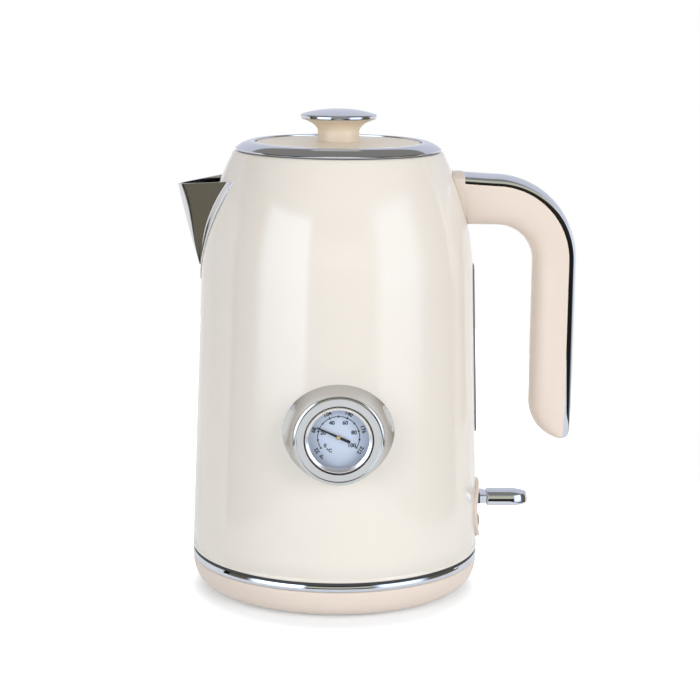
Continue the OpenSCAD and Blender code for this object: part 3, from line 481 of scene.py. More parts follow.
@dataclass
class Jug:
    """The jug's wall, foot ring and under-cover. Other pieces read its outline."""

    foot_r: float = 75.0
    seam_z: float = 19.8
    taper: float = 0.034
    shoulder_z: float = 166.0
    rim_z: float = 226.8
    shoulder_r: float = 53.5
    mouth_r: float = 46.5
    wall: float = 0.9
    ring_low_z: float = 15.4
    ring_top_z: float = 18.2
    cover_low_z: float = 12.4

    def radius(self, z: Floats | float) -> Floats:
        """Outer radius at a height: a straight taper, less a parabola above the shoulder.

        Args:
            z: Heights.

        Returns:
            Radii.
        """
        k = (self.foot_r - self.taper * (self.rim_z - self.seam_z) - self.shoulder_r) / (
            self.rim_z - self.shoulder_z) ** 2
        z = np.asarray(z, float)
        return self.foot_r - self.taper * (z - self.seam_z) - k * np.clip(z - self.shoulder_z, 0, None) ** 2

    def on_wall(self, y: Floats, z: Floats, height: Floats | float, side: Side) -> Floats:
        """Points at a height over the wall: x is the root of the grown radius squared less y squared.

        Args:
            y: Sideways places.
            z: Heights above the table.
            height: Height over the wall.
            side: The side of the jug.

        Returns:
            Points, in one more dimension than y.
        """
        r = self.radius(z) + height
        return np.stack([side.value * np.sqrt(np.clip(r * r - y * y, 0, None)), y + 0 * r, z + 0 * r], -1)

    def shell(self, cutters: tuple[Shape, ...]) -> None:
        """The painted wall: outside line up, over the rolled mouth and down the inside, turned about Z."""
        z = np.concatenate([[self.seam_z + 2.35], np.linspace(30, self.shoulder_z, 12),
                            np.linspace(self.shoulder_z, self.rim_z - 0.9, 60)[1:]])
        z_in = np.concatenate([np.linspace(self.rim_z - self.wall, self.shoulder_z, 40), [self.seam_z + 0.3]])
        hem = [(self.foot_r - 0.5, self.seam_z), (self.foot_r - 0.1, self.seam_z + 0.25),
               (self.foot_r, self.seam_z + 0.6), (self.foot_r - 0.03, self.seam_z + 1.45),
               (self.foot_r - 0.38, self.seam_z + 1.75), (self.foot_r - 0.38, self.seam_z + 2.05)]
        lip = [(self.shoulder_r - 0.35, self.rim_z - 0.22), (self.shoulder_r - 1.2, self.rim_z),
               (self.mouth_r + 0.4, self.rim_z), (self.mouth_r, self.rim_z - 0.5),
               (self.mouth_r, self.rim_z - 6.8), (self.mouth_r + self.wall, self.rim_z - 6.8),
               (self.mouth_r + self.wall, self.rim_z - self.wall)]
        outline = np.concatenate([hem, np.stack([self.radius(z), z], -1), lip,
                                  np.stack([self.radius(z_in) - self.wall, z_in], -1),
                                  [(self.foot_r - self.wall - 0.1, self.seam_z)]])
        make_piece("jug_wall", turned(outline, 256), ENAMEL, "jug_shell",
                   cutters=cutters, crease=50)

    def foot(self) -> None:
        """The bright ring, and over it a black band that paints the shade of the gap between ring and wall.

        The ring's face is an arc whose normal swings from 22 degrees up to 5 degrees down.
        """
        a = np.radians(np.linspace(-5, 22, 24))
        height = self.ring_top_z - self.ring_low_z
        r = height / (np.sin(a[-1]) - np.sin(a[0]))
        face = np.stack([self.foot_r + 0.05 + r * (np.cos(a) - 1),
                         self.ring_low_z + r * (np.sin(a) - np.sin(a[0]))], -1)
        outline = np.concatenate([[(71.2, self.ring_low_z), (73.6, self.ring_low_z)], face,
                                  [(74.0, self.ring_top_z + 0.05), (73.7, self.seam_z - 0.1),
                                   (71.2, self.seam_z - 0.1)]])
        make_piece("foot_band", turned(outline, 256), CHROME, "foot_ring", crease=50)
        # A black band that is not a part of the kettle: painted shade of the gap between the ring and the wall.
        low, high = self.ring_top_z + 0.08, self.seam_z - 0.02
        seal = rounded([(73.75, low), (74.6, low), (74.6, high), (73.75, high)], [0.05, 0.2, 0.2, 0.05], 4)
        make_piece("foot_gap_painted_shade", turned(seal, 256), BLACK)

    def cover(self) -> None:
        """The moulded cover under the jug, dished towards its hole, with its three screw wells."""
        z = self.cover_low_z
        outline = rounded([(15.4, z), (68.5, z), (70.8, z + 2.3), (70.8, 20.2), (73.7, 20.2), (73.7, 24),
                           (68.6, 24), (68.6, z + 2.2), (15.4, z + 2.2)],
                          [0.3, 1.5, 0.8, 0.1, 0.1, 0.1, 0.1, 0.5, 0.3])
        wells = tuple(prism(circle(32) * 3.3 + [55 * math.cos(a), 55 * math.sin(a)], z - 1, z + 1.4)
                      for a in np.radians([60, 180, 300]))
        make_piece("jug_under_cover", turned(outline), BLACK, "bottom_cover",
                   cutters=wells)


@dataclass
class Spout:
    """The folded steel spout and the flange that fixes it to the wall."""

    jug: Jug
    reach: float = 82.0
    tip_z: float = 209.2
    low_z: float = 163.8
    top_z: float = 212.8
    half_angle: float = 24.0
    curve: float = 1.6
    sheet: float = 0.9

    def seam_half(self, z: Floats) -> Floats:
        """Half width of the seam at a height: the wall's radius times the sine of its share of the angle."""
        share = np.clip((z - self.low_z) / (self.top_z - self.low_z), 0, None) ** self.curve
        return self.jug.radius(z) * np.sin(np.radians(self.half_angle * share))

    def edge_half(self, z: Floats) -> Floats:
        """Half width of the flange at a height: the larger of its curve and of its pointed tail."""
        share = np.clip((z - self.low_z) / (self.top_z - self.low_z), 0, None) ** 0.74
        tail = np.interp(z, [self.low_z - 4, self.low_z - 3.5, self.low_z + 1], [0, 1.1, 3.0])
        return np.maximum(self.jug.radius(z) * np.sin(np.radians((self.half_angle + 4.5) * share)), tail)

    def seam_outline(self, grow: float, start: float, stop: float) -> Floats:
        """The seam seen along X, grown by grow, between two heights over its lowest point."""
        z = np.linspace(self.low_z + start, self.low_z + stop, 40)
        y = self.seam_half(z) + grow
        return np.concatenate([np.stack([y, z], -1), np.stack([-y, z], -1)[::-1]])

    def opening(self) -> Shape:
        """The hole that the water leaves the jug by."""
        return moved(prism(self.seam_outline(-1.3, 11, 46.5), 40, 90), X_BACKWARD)

    def trough(self) -> None:
        """The sheet: at each level a rounded V from seam to keel to seam.

        Across the V the share w of the way from keel to seam is (root(u2 + e2) - e) over its value
        at u = 1, so e rounds the keel, and the keel runs straight from the wall to the tip. Near
        the seam a parabola lifts the sheet so that it runs into the flange without an edge.
        """
        v = np.linspace(0.07, 1, 72)[:, None]
        s = np.linspace(-1, 1, 81)[None]
        u = np.sign(s) * np.abs(s) ** 1.5
        z = self.low_z + v * (self.top_z - self.low_z)
        half = np.maximum(self.seam_half(z), 0.25)
        r = self.jug.radius(z) + 0.12
        keel_z = self.low_z + 0.7
        xk = -self.jug.radius(keel_z) - 0.12 - v * (self.reach - self.jug.radius(keel_z) - 0.12)
        xk = xk - 0.5 * np.sin(np.pi * v)
        zk = keel_z + v * (self.tip_z - keel_z)
        e = 0.12 + 1.2 * (1 - v) ** 1.2
        w = (np.sqrt(u * u + e * e) - e) / (np.sqrt(1 + e * e) - e)
        xs = -np.sqrt(r * r - half * half)
        length = np.sqrt((xs - xk) ** 2 + half ** 2 + (z - zk) ** 2)
        lift = 0.45 * np.clip(1 - (1 - w) * length / np.minimum(2.0, 0.5 * length), 0, 1) ** 2
        points = np.stack([xk + (xs - xk) * w + lift * xs / r, half * u * (1 + lift / r),
                           zk + (z - zk) * w], -1)
        obj = make_piece("spout_sheet", lattice(points), SPOUT_STEEL, "spout")
        solid = obj.modifiers.new("wall", "SOLIDIFY")
        solid.thickness, solid.offset = self.sheet * MM, -1.0
        applied(obj)
        obj.data.set_sharp_from_angle(angle=math.radians(40))

    def flange(self) -> None:
        """The edge that lies on the wall, from the seam out to the flange's own curve.

        Its rows run down one side and up the other, and each is a flat strip with an eased edge.
        """
        p = np.linspace(-1, 1, 161)[:, None]
        z_in = self.low_z + 3.4 + (self.top_z - self.low_z - 3.4) * np.abs(p) ** 1.5
        z_out = self.low_z - 4 + (self.top_z - self.low_z + 4) * np.abs(p) ** 1.2
        y_in, y_out = np.sign(p) * self.seam_half(z_in), np.sign(p) * self.edge_half(z_out)
        section = np.array([(0.0, 0.05), (0.98, 0.05), (1.0, 0.15), (1.0, 0.32), (0.98, 0.45), (0.95, 0.52),
                            (0.9, 0.55), (0.6, 0.55), (0.3, 0.55), (0.12, 0.56), (0.0, 0.58)])
        share, height = section[None, :, 0], section[None, :, 1]
        y, z = y_in + (y_out - y_in) * share, z_in + (z_out - z_in) * share
        band = lofted(self.jug.on_wall(y, z, height + 0 * y, Side.SPOUT))
        make_piece("spout_edge", band, SPOUT_STEEL, "spout_flange", crease=50)


@dataclass
class WallPlate:
    """A plate that lies on the wall under the handle: its edge closes in on a spine."""

    jug: Jug
    edge: Floats
    spine: Floats
    reach: float
    rise: tuple[float, float, float, float] = (0.0, 1.0, 300.0, 1.0)

    def shape(self, outline: Floats) -> Shape:
        """Carries a closed outline of (distance from the spine, height) round the plate.

        A point lies at spine + (edge - spine) x distance / reach, and its height grows by the
        rise, which runs evenly between two heights on the jug.

        Args:
            outline: The section, in millimetres.

        Returns:
            The closed shape.
        """
        share = outline[None, :, :1] / self.reach
        at = self.spine[:, None] + (self.edge - self.spine)[:, None] * share
        z0, h0, z1, h1 = self.rise
        grow = h0 + (h1 - h0) * np.clip((at[..., 1] - z0) / (z1 - z0), 0, 1)
        height = np.where(outline[None, :, 1] > 0.2, outline[None, :, 1] * grow, outline[None, :, 1])
        return lattice(self.jug.on_wall(at[..., 0], at[..., 1], height, Side.HANDLE), True, True)


@dataclass
class WaterWindow:
    """The gauge under the handle: frame, clear strip and gasket."""

    jug: Jug
    low_z: float = 79.8
    top_z: float = 169.0
    width: float = 15.0
    slot: float = 10.4

    def outline(self, width: float, low: float, high: float) -> tuple[Floats, Floats]:
        """Edge and spine of an upright slot with round ends.

        Args:
            width: The slot's width.
            low: Its lower end.
            high: Its upper end.

        Returns:
            The edge's points and the spine's points in step.
        """
        a = np.linspace(0, 2 * np.pi, 96, endpoint=False)
        spine = np.stack([0 * a, np.where(np.sin(a) >= 0, high - width / 2, low + width / 2)], -1)
        edge = spine + width / 2 * np.stack([np.cos(a), np.sin(a)], -1)
        long = np.linspace(low + width / 2, high - width / 2, 24)[1:-1]
        right = np.stack([0 * long + width / 2, long], -1)
        left = np.stack([0 * long - width / 2, long[::-1]], -1)
        edge = np.concatenate([edge[:49], left, edge[49:], right])
        spine = np.concatenate([spine[:49], left * [0, 1], spine[49:], right * [0, 1]])
        spine[48, 1] = high - width / 2
        return edge, spine

    def cutter(self) -> Shape:
        """The slot through the wall."""
        edge, _ = self.outline(self.slot, self.low_z + 4, self.top_z - 4)
        return moved(prism(edge, 60, 80), X_FORWARD)

    def build(self) -> None:
        """Makes the frame, the strip and its inner flange, and the gasket."""
        half = self.width / 2
        edge, spine = self.outline(self.width, self.low_z, self.top_z)
        plate = WallPlate(self.jug, edge, spine, half, (self.low_z, 0.95, self.top_z, 0.8))
        frame_ring = rounded([(5.0, 0.05), (half, 0.05), (half, 0.75), (6.7, 1.0), (5.6, 1.0), (5.0, 0.6)],
                             [0.02, 0.05, 0.2, 0.2, 0.15, 0.1], 4)
        make_piece("window_surround", plate.shape(frame_ring), SMOKED, "window_frame")
        lens = rounded([(0.0, -3.4), (half, -3.4), (half, -2.35), (4.9, -2.35), (4.9, 0.1), (4.4, 0.5),
                        (0.0, 0.62)], [0, 0.1, 0.1, 0.0, 0.05, 0.2, 0.0], 4)
        make_piece("window_strip", plate.shape(lens), CLEAR, "window_lens")
        seal = rounded([(5.3, -2.3), (half + 0.4, -2.3), (half + 0.4, -0.95), (5.3, -0.95)], 0.3, 4)
        make_piece("window_seal", plate.shape(seal), SILICONE, "window_gasket")


# ------------------------------------------------------------------ handle

@dataclass
class Handle:
    """The curved grip, the bright strip on its back, and the stations both follow."""

    jug: Jug
    bend: tuple[float, float] = (80.0, 172.0)
    outer_r: float = 38.4
    inner: tuple[float, float] = (82.0, 170.5)
    inner_r: float = 19.0
    half: float = 13.0
    end_z: float = 97.0
    root_z: float = 212.6
    strip_x: float = 64.3
    edge_h: float = 2.9
    crown_h: float = 2.2

    def stations(self, root: bool) -> tuple[Floats, Floats, Floats, Floats]:
        """Outer points, inner points, width shares and strip shares along the handle.

        The line runs out from the jug, round two quarter circles, down, and rounds off at its end.

        Args:
            root: Whether to begin inside the jug or at the strip's start.

        Returns:
            Four arrays in step.
        """
        bx, bz = self.bend
        ix, iz = self.inner
        start = np.array([[54, self.root_z + 1.6, 58, iz + self.inner_r + 0.3],
                          [self.strip_x - 0.15, self.root_z + 1.6, 66.9, iz + self.inner_r + 0.1]])[:2 * root]
        joint = np.array([[self.strip_x, bz + self.outer_r + 1, 67, iz + self.inner_r + 0.1]])
        a = np.radians(np.linspace(90, 0, 56))
        arc = np.stack([bx + self.outer_r * np.cos(a), bz + self.outer_r * np.sin(a),
                        ix + self.inner_r * np.cos(a), iz + self.inner_r * np.sin(a)], -1)
        z = np.linspace(150, self.end_z, 6)
        down = np.stack([0 * z + bx + self.outer_r, z, 0 * z + ix + self.inner_r, z], -1)
        e = np.radians(np.linspace(4, 88, 30))
        thick = bx + self.outer_r - ix - self.inner_r
        tip = np.stack([bx + self.outer_r - 0.6 * e / e[-1], self.end_z - 19 * np.sin(e),
                        bx + self.outer_r - thick * np.cos(e), self.end_z - 19.5 * np.sin(e)], -1)
        lead = joint + (arc[:1] - joint) * np.linspace(0, 1, 10 if root else 14)[:-1, None]
        rows = np.concatenate([start, lead, arc, down, tip])
        share = np.clip(np.arange(len(rows)) - (len(rows) - len(e)), 0, None) / len(e)
        return rows[:, :2], rows[:, 2:], 1 - 0.38 * share ** 3, 1 - 0.8 * share ** 6

    def grip(self) -> None:
        """The grip: round-bellied sections, flat under the strip and crowned at the root.

        At an angle t from 0 to 180 degrees the depth is sin t to the power 0.9 and the side is
        cos t to the power 0.75, both with their signs.
        """
        outer, inner, wide, _ = self.stations(True)
        t = np.linspace(0, np.pi, 57)[None]
        depth = np.sin(t) ** 0.9
        side = self.half * wide[:, None] * np.sign(np.cos(t)) * np.abs(np.cos(t)) ** 0.75
        at = outer[:, None] + (inner - outer)[:, None] * depth[..., None]
        belly = np.stack([at[..., 0], side, at[..., 1]], -1)
        k = np.linspace(-1, 1, 17)[None, 1:-1]
        root = (np.arange(len(outer)) < 2)[:, None]
        over = np.stack([outer[:, :1] + 0 * k, self.half * wide[:, None] * k,
                         outer[:, 1:] + root * self.crown_h * (1 - k ** 4)], -1)
        rings = np.concatenate([belly, over], 1)
        z = np.linspace(170, self.jug.rim_z - 1, 60)
        core = np.concatenate([[(0, 170)], np.stack([self.jug.radius(z) + 0.1, z], -1),
                               [(0, self.jug.rim_z - 1)]])
        make_piece("handle_body", lofted(rings), SATIN, "handle_grip",
                   cutters=(turned(core, 256),), crease=40)

    def strip(self) -> None:
        """The bright strip on the grip's outer face: a slightly bellied side, a tight shoulder and a crown."""
        outer, inner, wide, high = self.stations(False)
        out = (outer - inner) / np.linalg.norm(outer - inner, axis=1)[:, None]
        h, a = np.linspace(0, 2.6, 9), np.radians(np.linspace(9, 70, 9))
        inset = self.half - 0.41
        side = np.stack([self.half + 0.044 * h - 0.04 * h * h, h], -1)[:-1]
        shoulder = np.stack([inset - 0.14 + 0.4 * np.cos(a), self.edge_h - 0.375 + 0.4 * np.sin(a)], -1)
        u = np.linspace(1, 0, 13)[1:]
        crown = np.stack([u * inset, self.edge_h + self.crown_h * (1 - u * u)], -1)
        right = np.concatenate([side, shoulder, crown])
        section = np.concatenate([right, right[-2::-1] * [-1, 1]])
        side = section[None, :, 0] * wide[:, None]
        rise = section[None, :, 1] * high[:, None]
        at = outer[:, None] + out[:, None] * rise[..., None]
        make_piece("handle_strip", lofted(np.stack([at[..., 0], side, at[..., 1]], -1)), CHROME, "handle_trim",
                   crease=30)


# ------------------------------------------------------------------ thermometer

@dataclass
class Thermometer:
    """The dial on the front: housing, bead, pane, printed card and needle."""

    jug: Jug
    z: float = 94.6
    lip_r: float = 21.7
    front: float = 85.3
    flare_from: float = 66.0
    flare_to: float = 84.0
    flare_bow: float = 0.019
    dish_depth: float = 0.9
    well_r: float = 17.0
    zero: float = 236.7
    sweep: float = 245.0
    arc_r: float = 10.2
    reading: float = 294.0
    card: float = 76.2
    celsius_r: float = 7.8
    fahrenheit_r: float = 12.6
    figure_h: float = 1.95

    def facing(self, shape: Shape) -> Shape:
        """A shape whose own Z is the distance from the jug's axis, set on the dial's axis."""
        return moved(shape, Y_FORWARD, (0, 0, self.z))

    def clock(self, angle: Floats | float, radius: float) -> Floats:
        """Places on the card at a clockwise angle in degrees from the top."""
        a = np.radians(angle)
        return np.stack([radius * np.sin(a), radius * np.cos(a)], -1)

    def housing(self) -> None:
        """The trumpet, trimmed to the wall: its radius grows by the square of the depth behind the lip."""
        h = np.linspace(self.flare_from, self.flare_to, 30)
        flare = np.stack([self.lip_r + 0.4 + self.flare_bow * (self.flare_to - h) ** 2, h], -1)
        t = np.linspace(1, 0, 12)
        bevel = np.stack([self.lip_r - 1.1 + 1.35 * t, self.front - 0.1 * t - 0.3 * t * t], -1)
        flat = self.front - self.dish_depth
        crest = rounded([(self.lip_r - 1.1, self.front), (self.lip_r - 1.35, self.front - 0.1),
                         (self.lip_r - 1.35, flat), (self.well_r, flat), (self.well_r, self.flare_from)],
                        [0, 0.08, 0.1, 0.12, 0])
        edge = [(self.lip_r + 0.4, self.flare_to + 0.2), (self.lip_r + 0.36, self.flare_to + 0.65)]
        lip = np.concatenate([edge, bevel, crest[1:]])
        held = np.flatnonzero((lip[:-1, 1] == lip[1:, 1]) & (np.abs(np.diff(lip[:, 0])) > 2))[0] + 1
        lip = np.insert(lip, held, [(20.15, flat), (17.2, flat)], 0)
        z = np.linspace(30, 150, 40)
        core = np.concatenate([[(0, 30)], np.stack([self.jug.radius(z) + 0.05, z], -1), [(0, 150)]])
        make_piece("dial_surround", self.facing(turned(np.concatenate([flare, lip]), 160)), NICKEL,
                   "dial_housing", cutters=(turned(core, 256),))

    def bead(self) -> None:
        """The inner ring, a groove's width inside the dish, and a black ring in the groove that paints the
        groove's shade.
        """
        outline = rounded([(14.7, 79.5), (16.45, 79.5), (16.45, 83.55), (15.95, 83.6), (15.5, 83.36),
                           (15.0, 83.07), (14.7, 82.9)], [0.1, 0.1, 0.2, 0.1, 0, 0, 0.06])
        make_piece("dial_bead", self.facing(turned(outline, 160)), SOFT_CHROME, "dial_bezel")
        # A black ring that is not a part of the dial: painted shade deep in the groove.
        seal = rounded([(16.5, 82.4), (self.well_r - 0.03, 82.4), (self.well_r - 0.03, 83.9), (16.5, 83.9)],
                       [0.05, 0.05, 0.15, 0.15], 4)
        make_piece("dial_groove_painted_shade", self.facing(turned(seal, 160)), BLACK)

    def pane(self) -> None:
        """The flat glass."""
        outline = rounded([(0, 78.4), (self.well_r - 0.15, 78.4), (self.well_r - 0.15, 79.5), (0, 79.5)],
                          [0, 0.1, 0.1, 0])
        make_piece("dial_pane", self.facing(turned(outline, 96)), GLASS, "dial_lens")

    def face(self) -> None:
        """The card, and the scale printed on it as a raised film."""
        hole = 0.56
        outline = rounded([(hole, 75.6), (16.3, 75.6), (16.3, self.card), (hole, self.card)],
                          [0, 0.05, 0.05, 0])
        make_piece("dial_card", self.facing(turned(outline, 96)), CARD, "dial_face")
        t = np.radians(np.linspace(self.zero, self.zero + self.sweep, 120))[:, None]
        section = np.array([(-0.2, 0.01), (0.2, 0.01), (0.2, 0.06), (-0.2, 0.06)])
        r = self.arc_r + section[None, :, 0]
        film = lofted(np.stack([r * np.sin(t), r * np.cos(t), self.card + section[None, :, 1] + 0 * t], -1))
        for step in range(11):
            angle = self.zero + self.sweep * step / 10
            mid, out = self.clock(angle, 1.0), self.clock(angle + 90, 1.0)
            bar = np.array([mid * (self.arc_r - 0.5) + out * 0.42, mid * (self.arc_r + 0.55) + out * 0.25,
                            mid * (self.arc_r + 0.55) - out * 0.25, mid * (self.arc_r - 0.5) - out * 0.42])
            film = film + prism(bar, self.card + 0.01, self.card + 0.07)
        labels = [("°C", 213.8, self.celsius_r + 0.3, False, 1.8),
                  ("°F", 219.5, self.fahrenheit_r, True, 1.8)]
        for celsius in range(0, 101, 20):
            angle = self.zero + self.sweep * celsius / 100
            labels += [(str(celsius), angle, self.celsius_r, False, self.figure_h),
                       (str(round(32 + 1.8 * celsius)), angle, self.fahrenheit_r, True, self.figure_h)]
        for text, angle, radius, tangent, size in labels:
            film = film + self.lettering(text, angle, radius, tangent, size)
        make_piece("dial_scale", self.facing(film), INK)

    def lettering(self, text: str, angle: float, radius: float, tangent: bool, size: float) -> Shape:
        """A generic number as a thin raised shape.

        Args:
            text: What it says.
            angle: Its clockwise angle on the card.
            radius: Its distance from the middle.
            tangent: Whether its foot points to the middle, or it stands upright.
            size: Height of its figures.

        Returns:
            The figures, facing the card's own Z.
        """
        curve = bpy.data.curves.new("figures", "FONT")
        curve.body, curve.size, curve.extrude, curve.offset = text, size * 1.38, 0.02, 0.11
        curve.align_x, curve.align_y, curve.resolution_u = "CENTER", "CENTER", 3
        obj = linked("figures", curve)
        mesh = evaluated(obj)
        flat = np.empty(len(mesh.vertices) * 3)
        mesh.vertices.foreach_get("co", flat)
        points = flat.reshape(-1, 3)
        points[:, :2] -= (points[:, :2].max(0) + points[:, :2].min(0)) / 2
        a = math.radians(-angle if tangent else 0)
        spin = np.array([[math.cos(a), -math.sin(a), 0], [math.sin(a), math.cos(a), 0], [0, 0, 1]])
        place = np.append(self.clock(angle, radius), self.card + 0.04)
        faces = [list(p.vertices) for p in mesh.polygons]
        bpy.data.objects.remove(obj)
        bpy.data.meshes.remove(mesh)
        return Shape(points @ spin.T + place, faces)

    def needle(self) -> None:
        """The pointer, a slim taper with a heavier tail, and its brass hub on the spindle."""
        outline = rounded([(-0.72, -6.1), (0.72, -6.1), (0.68, -1.0), (0.55, 1.0), (0.26, 11.6), (-0.26, 11.6),
                           (-0.55, 1.0), (-0.68, -1.0)], [0.3, 0.3, 0.5, 0.5, 0.15, 0.15, 0.5, 0.5], 4)
        a = math.radians(-self.reading)
        spin = np.array([[math.cos(a), -math.sin(a)], [math.sin(a), math.cos(a)]])
        make_piece("pointer", self.facing(prism(outline @ spin.T, 76.9, 77.3)), NEEDLE, "needle_pointer")
        hub = rounded([(0, 55), (0.5, 55), (0.5, 77.25), (1.1, 77.25), (1.1, 77.7), (0.7, 77.95), (0, 78.0)],
                      [0, 0.1, 0, 0.05, 0.2, 0.2, 0], 4)
        make_piece("pointer_hub", self.facing(turned(hub, 48)), BRASS, "needle_hub")


# ------------------------------------------------------------------ switch

@dataclass
class Switch:
    """The oval plate, the indicator and the lever under the window."""

    jug: Jug
    z: float = 38.9
    half: tuple[float, float] = (20.0, 15.4)
    lens_z: float = 31.0
    lever_z: float = 44.0
    neck_x: float = 76.2
    paddle_x: float = 79.4
    reach: float = 102.0
    width: float = 17.2
    low: float = 2.7
    high: float = 2.5
    crown: float = 1.9
    nose_fall: float = 0.9
    press_x: float = 87.5
    press_half: tuple[float, float] = (4.8, 2.4)
    press_depth: float = 0.07
    flank_z: float = -1.6

    def cutters(self) -> tuple[Shape, Shape]:
        """The lever's slot and the indicator's hole, through the wall and the plate."""
        slot = rounded([(-7.6, 38.4), (7.6, 38.4), (7.6, 47.2), (-7.6, 47.2)], 0.8)
        hole = circle(48) * 4.6 + [0, self.lens_z]
        return moved(prism(slot, 60, 80), X_FORWARD), moved(prism(hole, 60, 80), X_FORWARD)

    def plate(self) -> None:
        """The oval plate with its raised edge, wrapped onto the wall."""
        edge = circle(128) * self.half + [0, self.z]
        spine = 0 * edge + [0, self.z]
        reach = self.half[1]
        section = rounded([(0, 0.05), (reach, 0.05), (reach, 1.3), (reach - 0.5, 1.9), (reach - 1.6, 1.9),
                           (reach - 2.3, 0.9), (0, 0.9)], [0, 0.05, 0.4, 0.3, 0.4, 0.5, 0], 5)
        steps = np.array([(reach * k, 0.9) for k in (0.7, 0.45, 0.2)])
        section = np.concatenate([section[:-1], steps, section[-1:]])
        make_piece("switch_plate", WallPlate(self.jug, edge, spine, reach).shape(section), SATIN,
                   "switch_bezel", cutters=self.cutters())

    def lens(self) -> None:
        """The domed indicator."""
        outline = rounded([(0, 72.6), (4.5, 72.6), (4.5, 75.4), (3.4, 76.3), (0, 76.5)],
                          [0, 0.1, 0.8, 1.2, 0], 6)
        make_piece("indicator_dome", moved(turned(outline, 64), X_FORWARD, (0, 0, self.lens_z)), AMBER,
                   "indicator_lens")

    def lever(self) -> None:
        """The bright paddle and its neck.

        The paddle's edge closes in on a short spine while its section rounds over. Its top is
        crowned by the square of the sideways distance, falls away to the nose, and has a shallow
        oval pressed into it.
        """
        half, tip = self.width / 2, self.reach
        nose = np.radians(np.linspace(-90, 90, 49))
        round_x = tip - half * 1.15
        edge = np.concatenate([np.stack([round_x + half * 1.15 * np.cos(nose), half * np.sin(nose)], -1),
                               rounded([(round_x - 0.5, half), (self.paddle_x, half), (self.paddle_x, -half),
                                        (round_x - 0.5, -half)], [0, 1.0, 1.0, 0], 8)])
        edge = resampled(np.concatenate([edge, edge[:1]]), 241)[:-1]
        spine = np.stack([np.clip(edge[:, 0], self.paddle_x + half, round_x), 0 * edge[:, 1]], -1)
        h = np.linspace(self.flank_z, self.high, 9)
        flank = np.stack([half - 0.041 * (h - self.flank_z) ** 2, h], -1)
        rim = rounded([(0, -self.low), (half - 0.4, -self.low), *flank.tolist(), (0, self.high)],
                      [0, 0.8, 0.5, *[0.0] * 7, 0.35, 0], 8)
        flat = np.stack([np.linspace(flank[-1, 0] - 0.5, 0, 48), np.full(48, self.high)], -1)
        section = np.concatenate([rim[:-1], flat])
        share = section[None, :, :1] / half
        at = spine[:, None] + (edge - spine)[:, None] * share
        ahead = np.clip((at[..., 0] - round_x) / (tip - round_x), 0, None)
        over = np.clip(section[None, :, 1] / self.high, 0, 1) * self.crown * (
            1 - np.clip((at[..., 1] / half) ** 2 + self.nose_fall * ahead ** 2, 0, 1))
        oval = np.hypot((at[..., 0] - self.press_x) / self.press_half[0], at[..., 1] / self.press_half[1])
        inside = np.clip((1.04 - oval) / 0.08, 0, 1) * (section[None, :, 1] > self.high - 0.01)
        press = self.press_depth * inside
        paddle = lattice(np.stack([at[..., 0], at[..., 1], self.lever_z + section[None, :, 1] + over - press],
                                  -1), True, True)
        neck = rounded([(-7, -2.1), (7, -2.1), (7, 2.8), (-7, 2.8)], 0.7)
        throat = moved(prism(neck + [0, self.lever_z], self.neck_x, self.paddle_x - 0.45), X_FORWARD)
        core = moved(prism(neck * 0.86 + [0, self.lever_z], self.paddle_x - 1, self.paddle_x + 0.9), X_FORWARD)
        make_piece("lever_paddle_bright", paddle + throat + core, CHROME, "lever_paddle")


# ------------------------------------------------------------------ lid

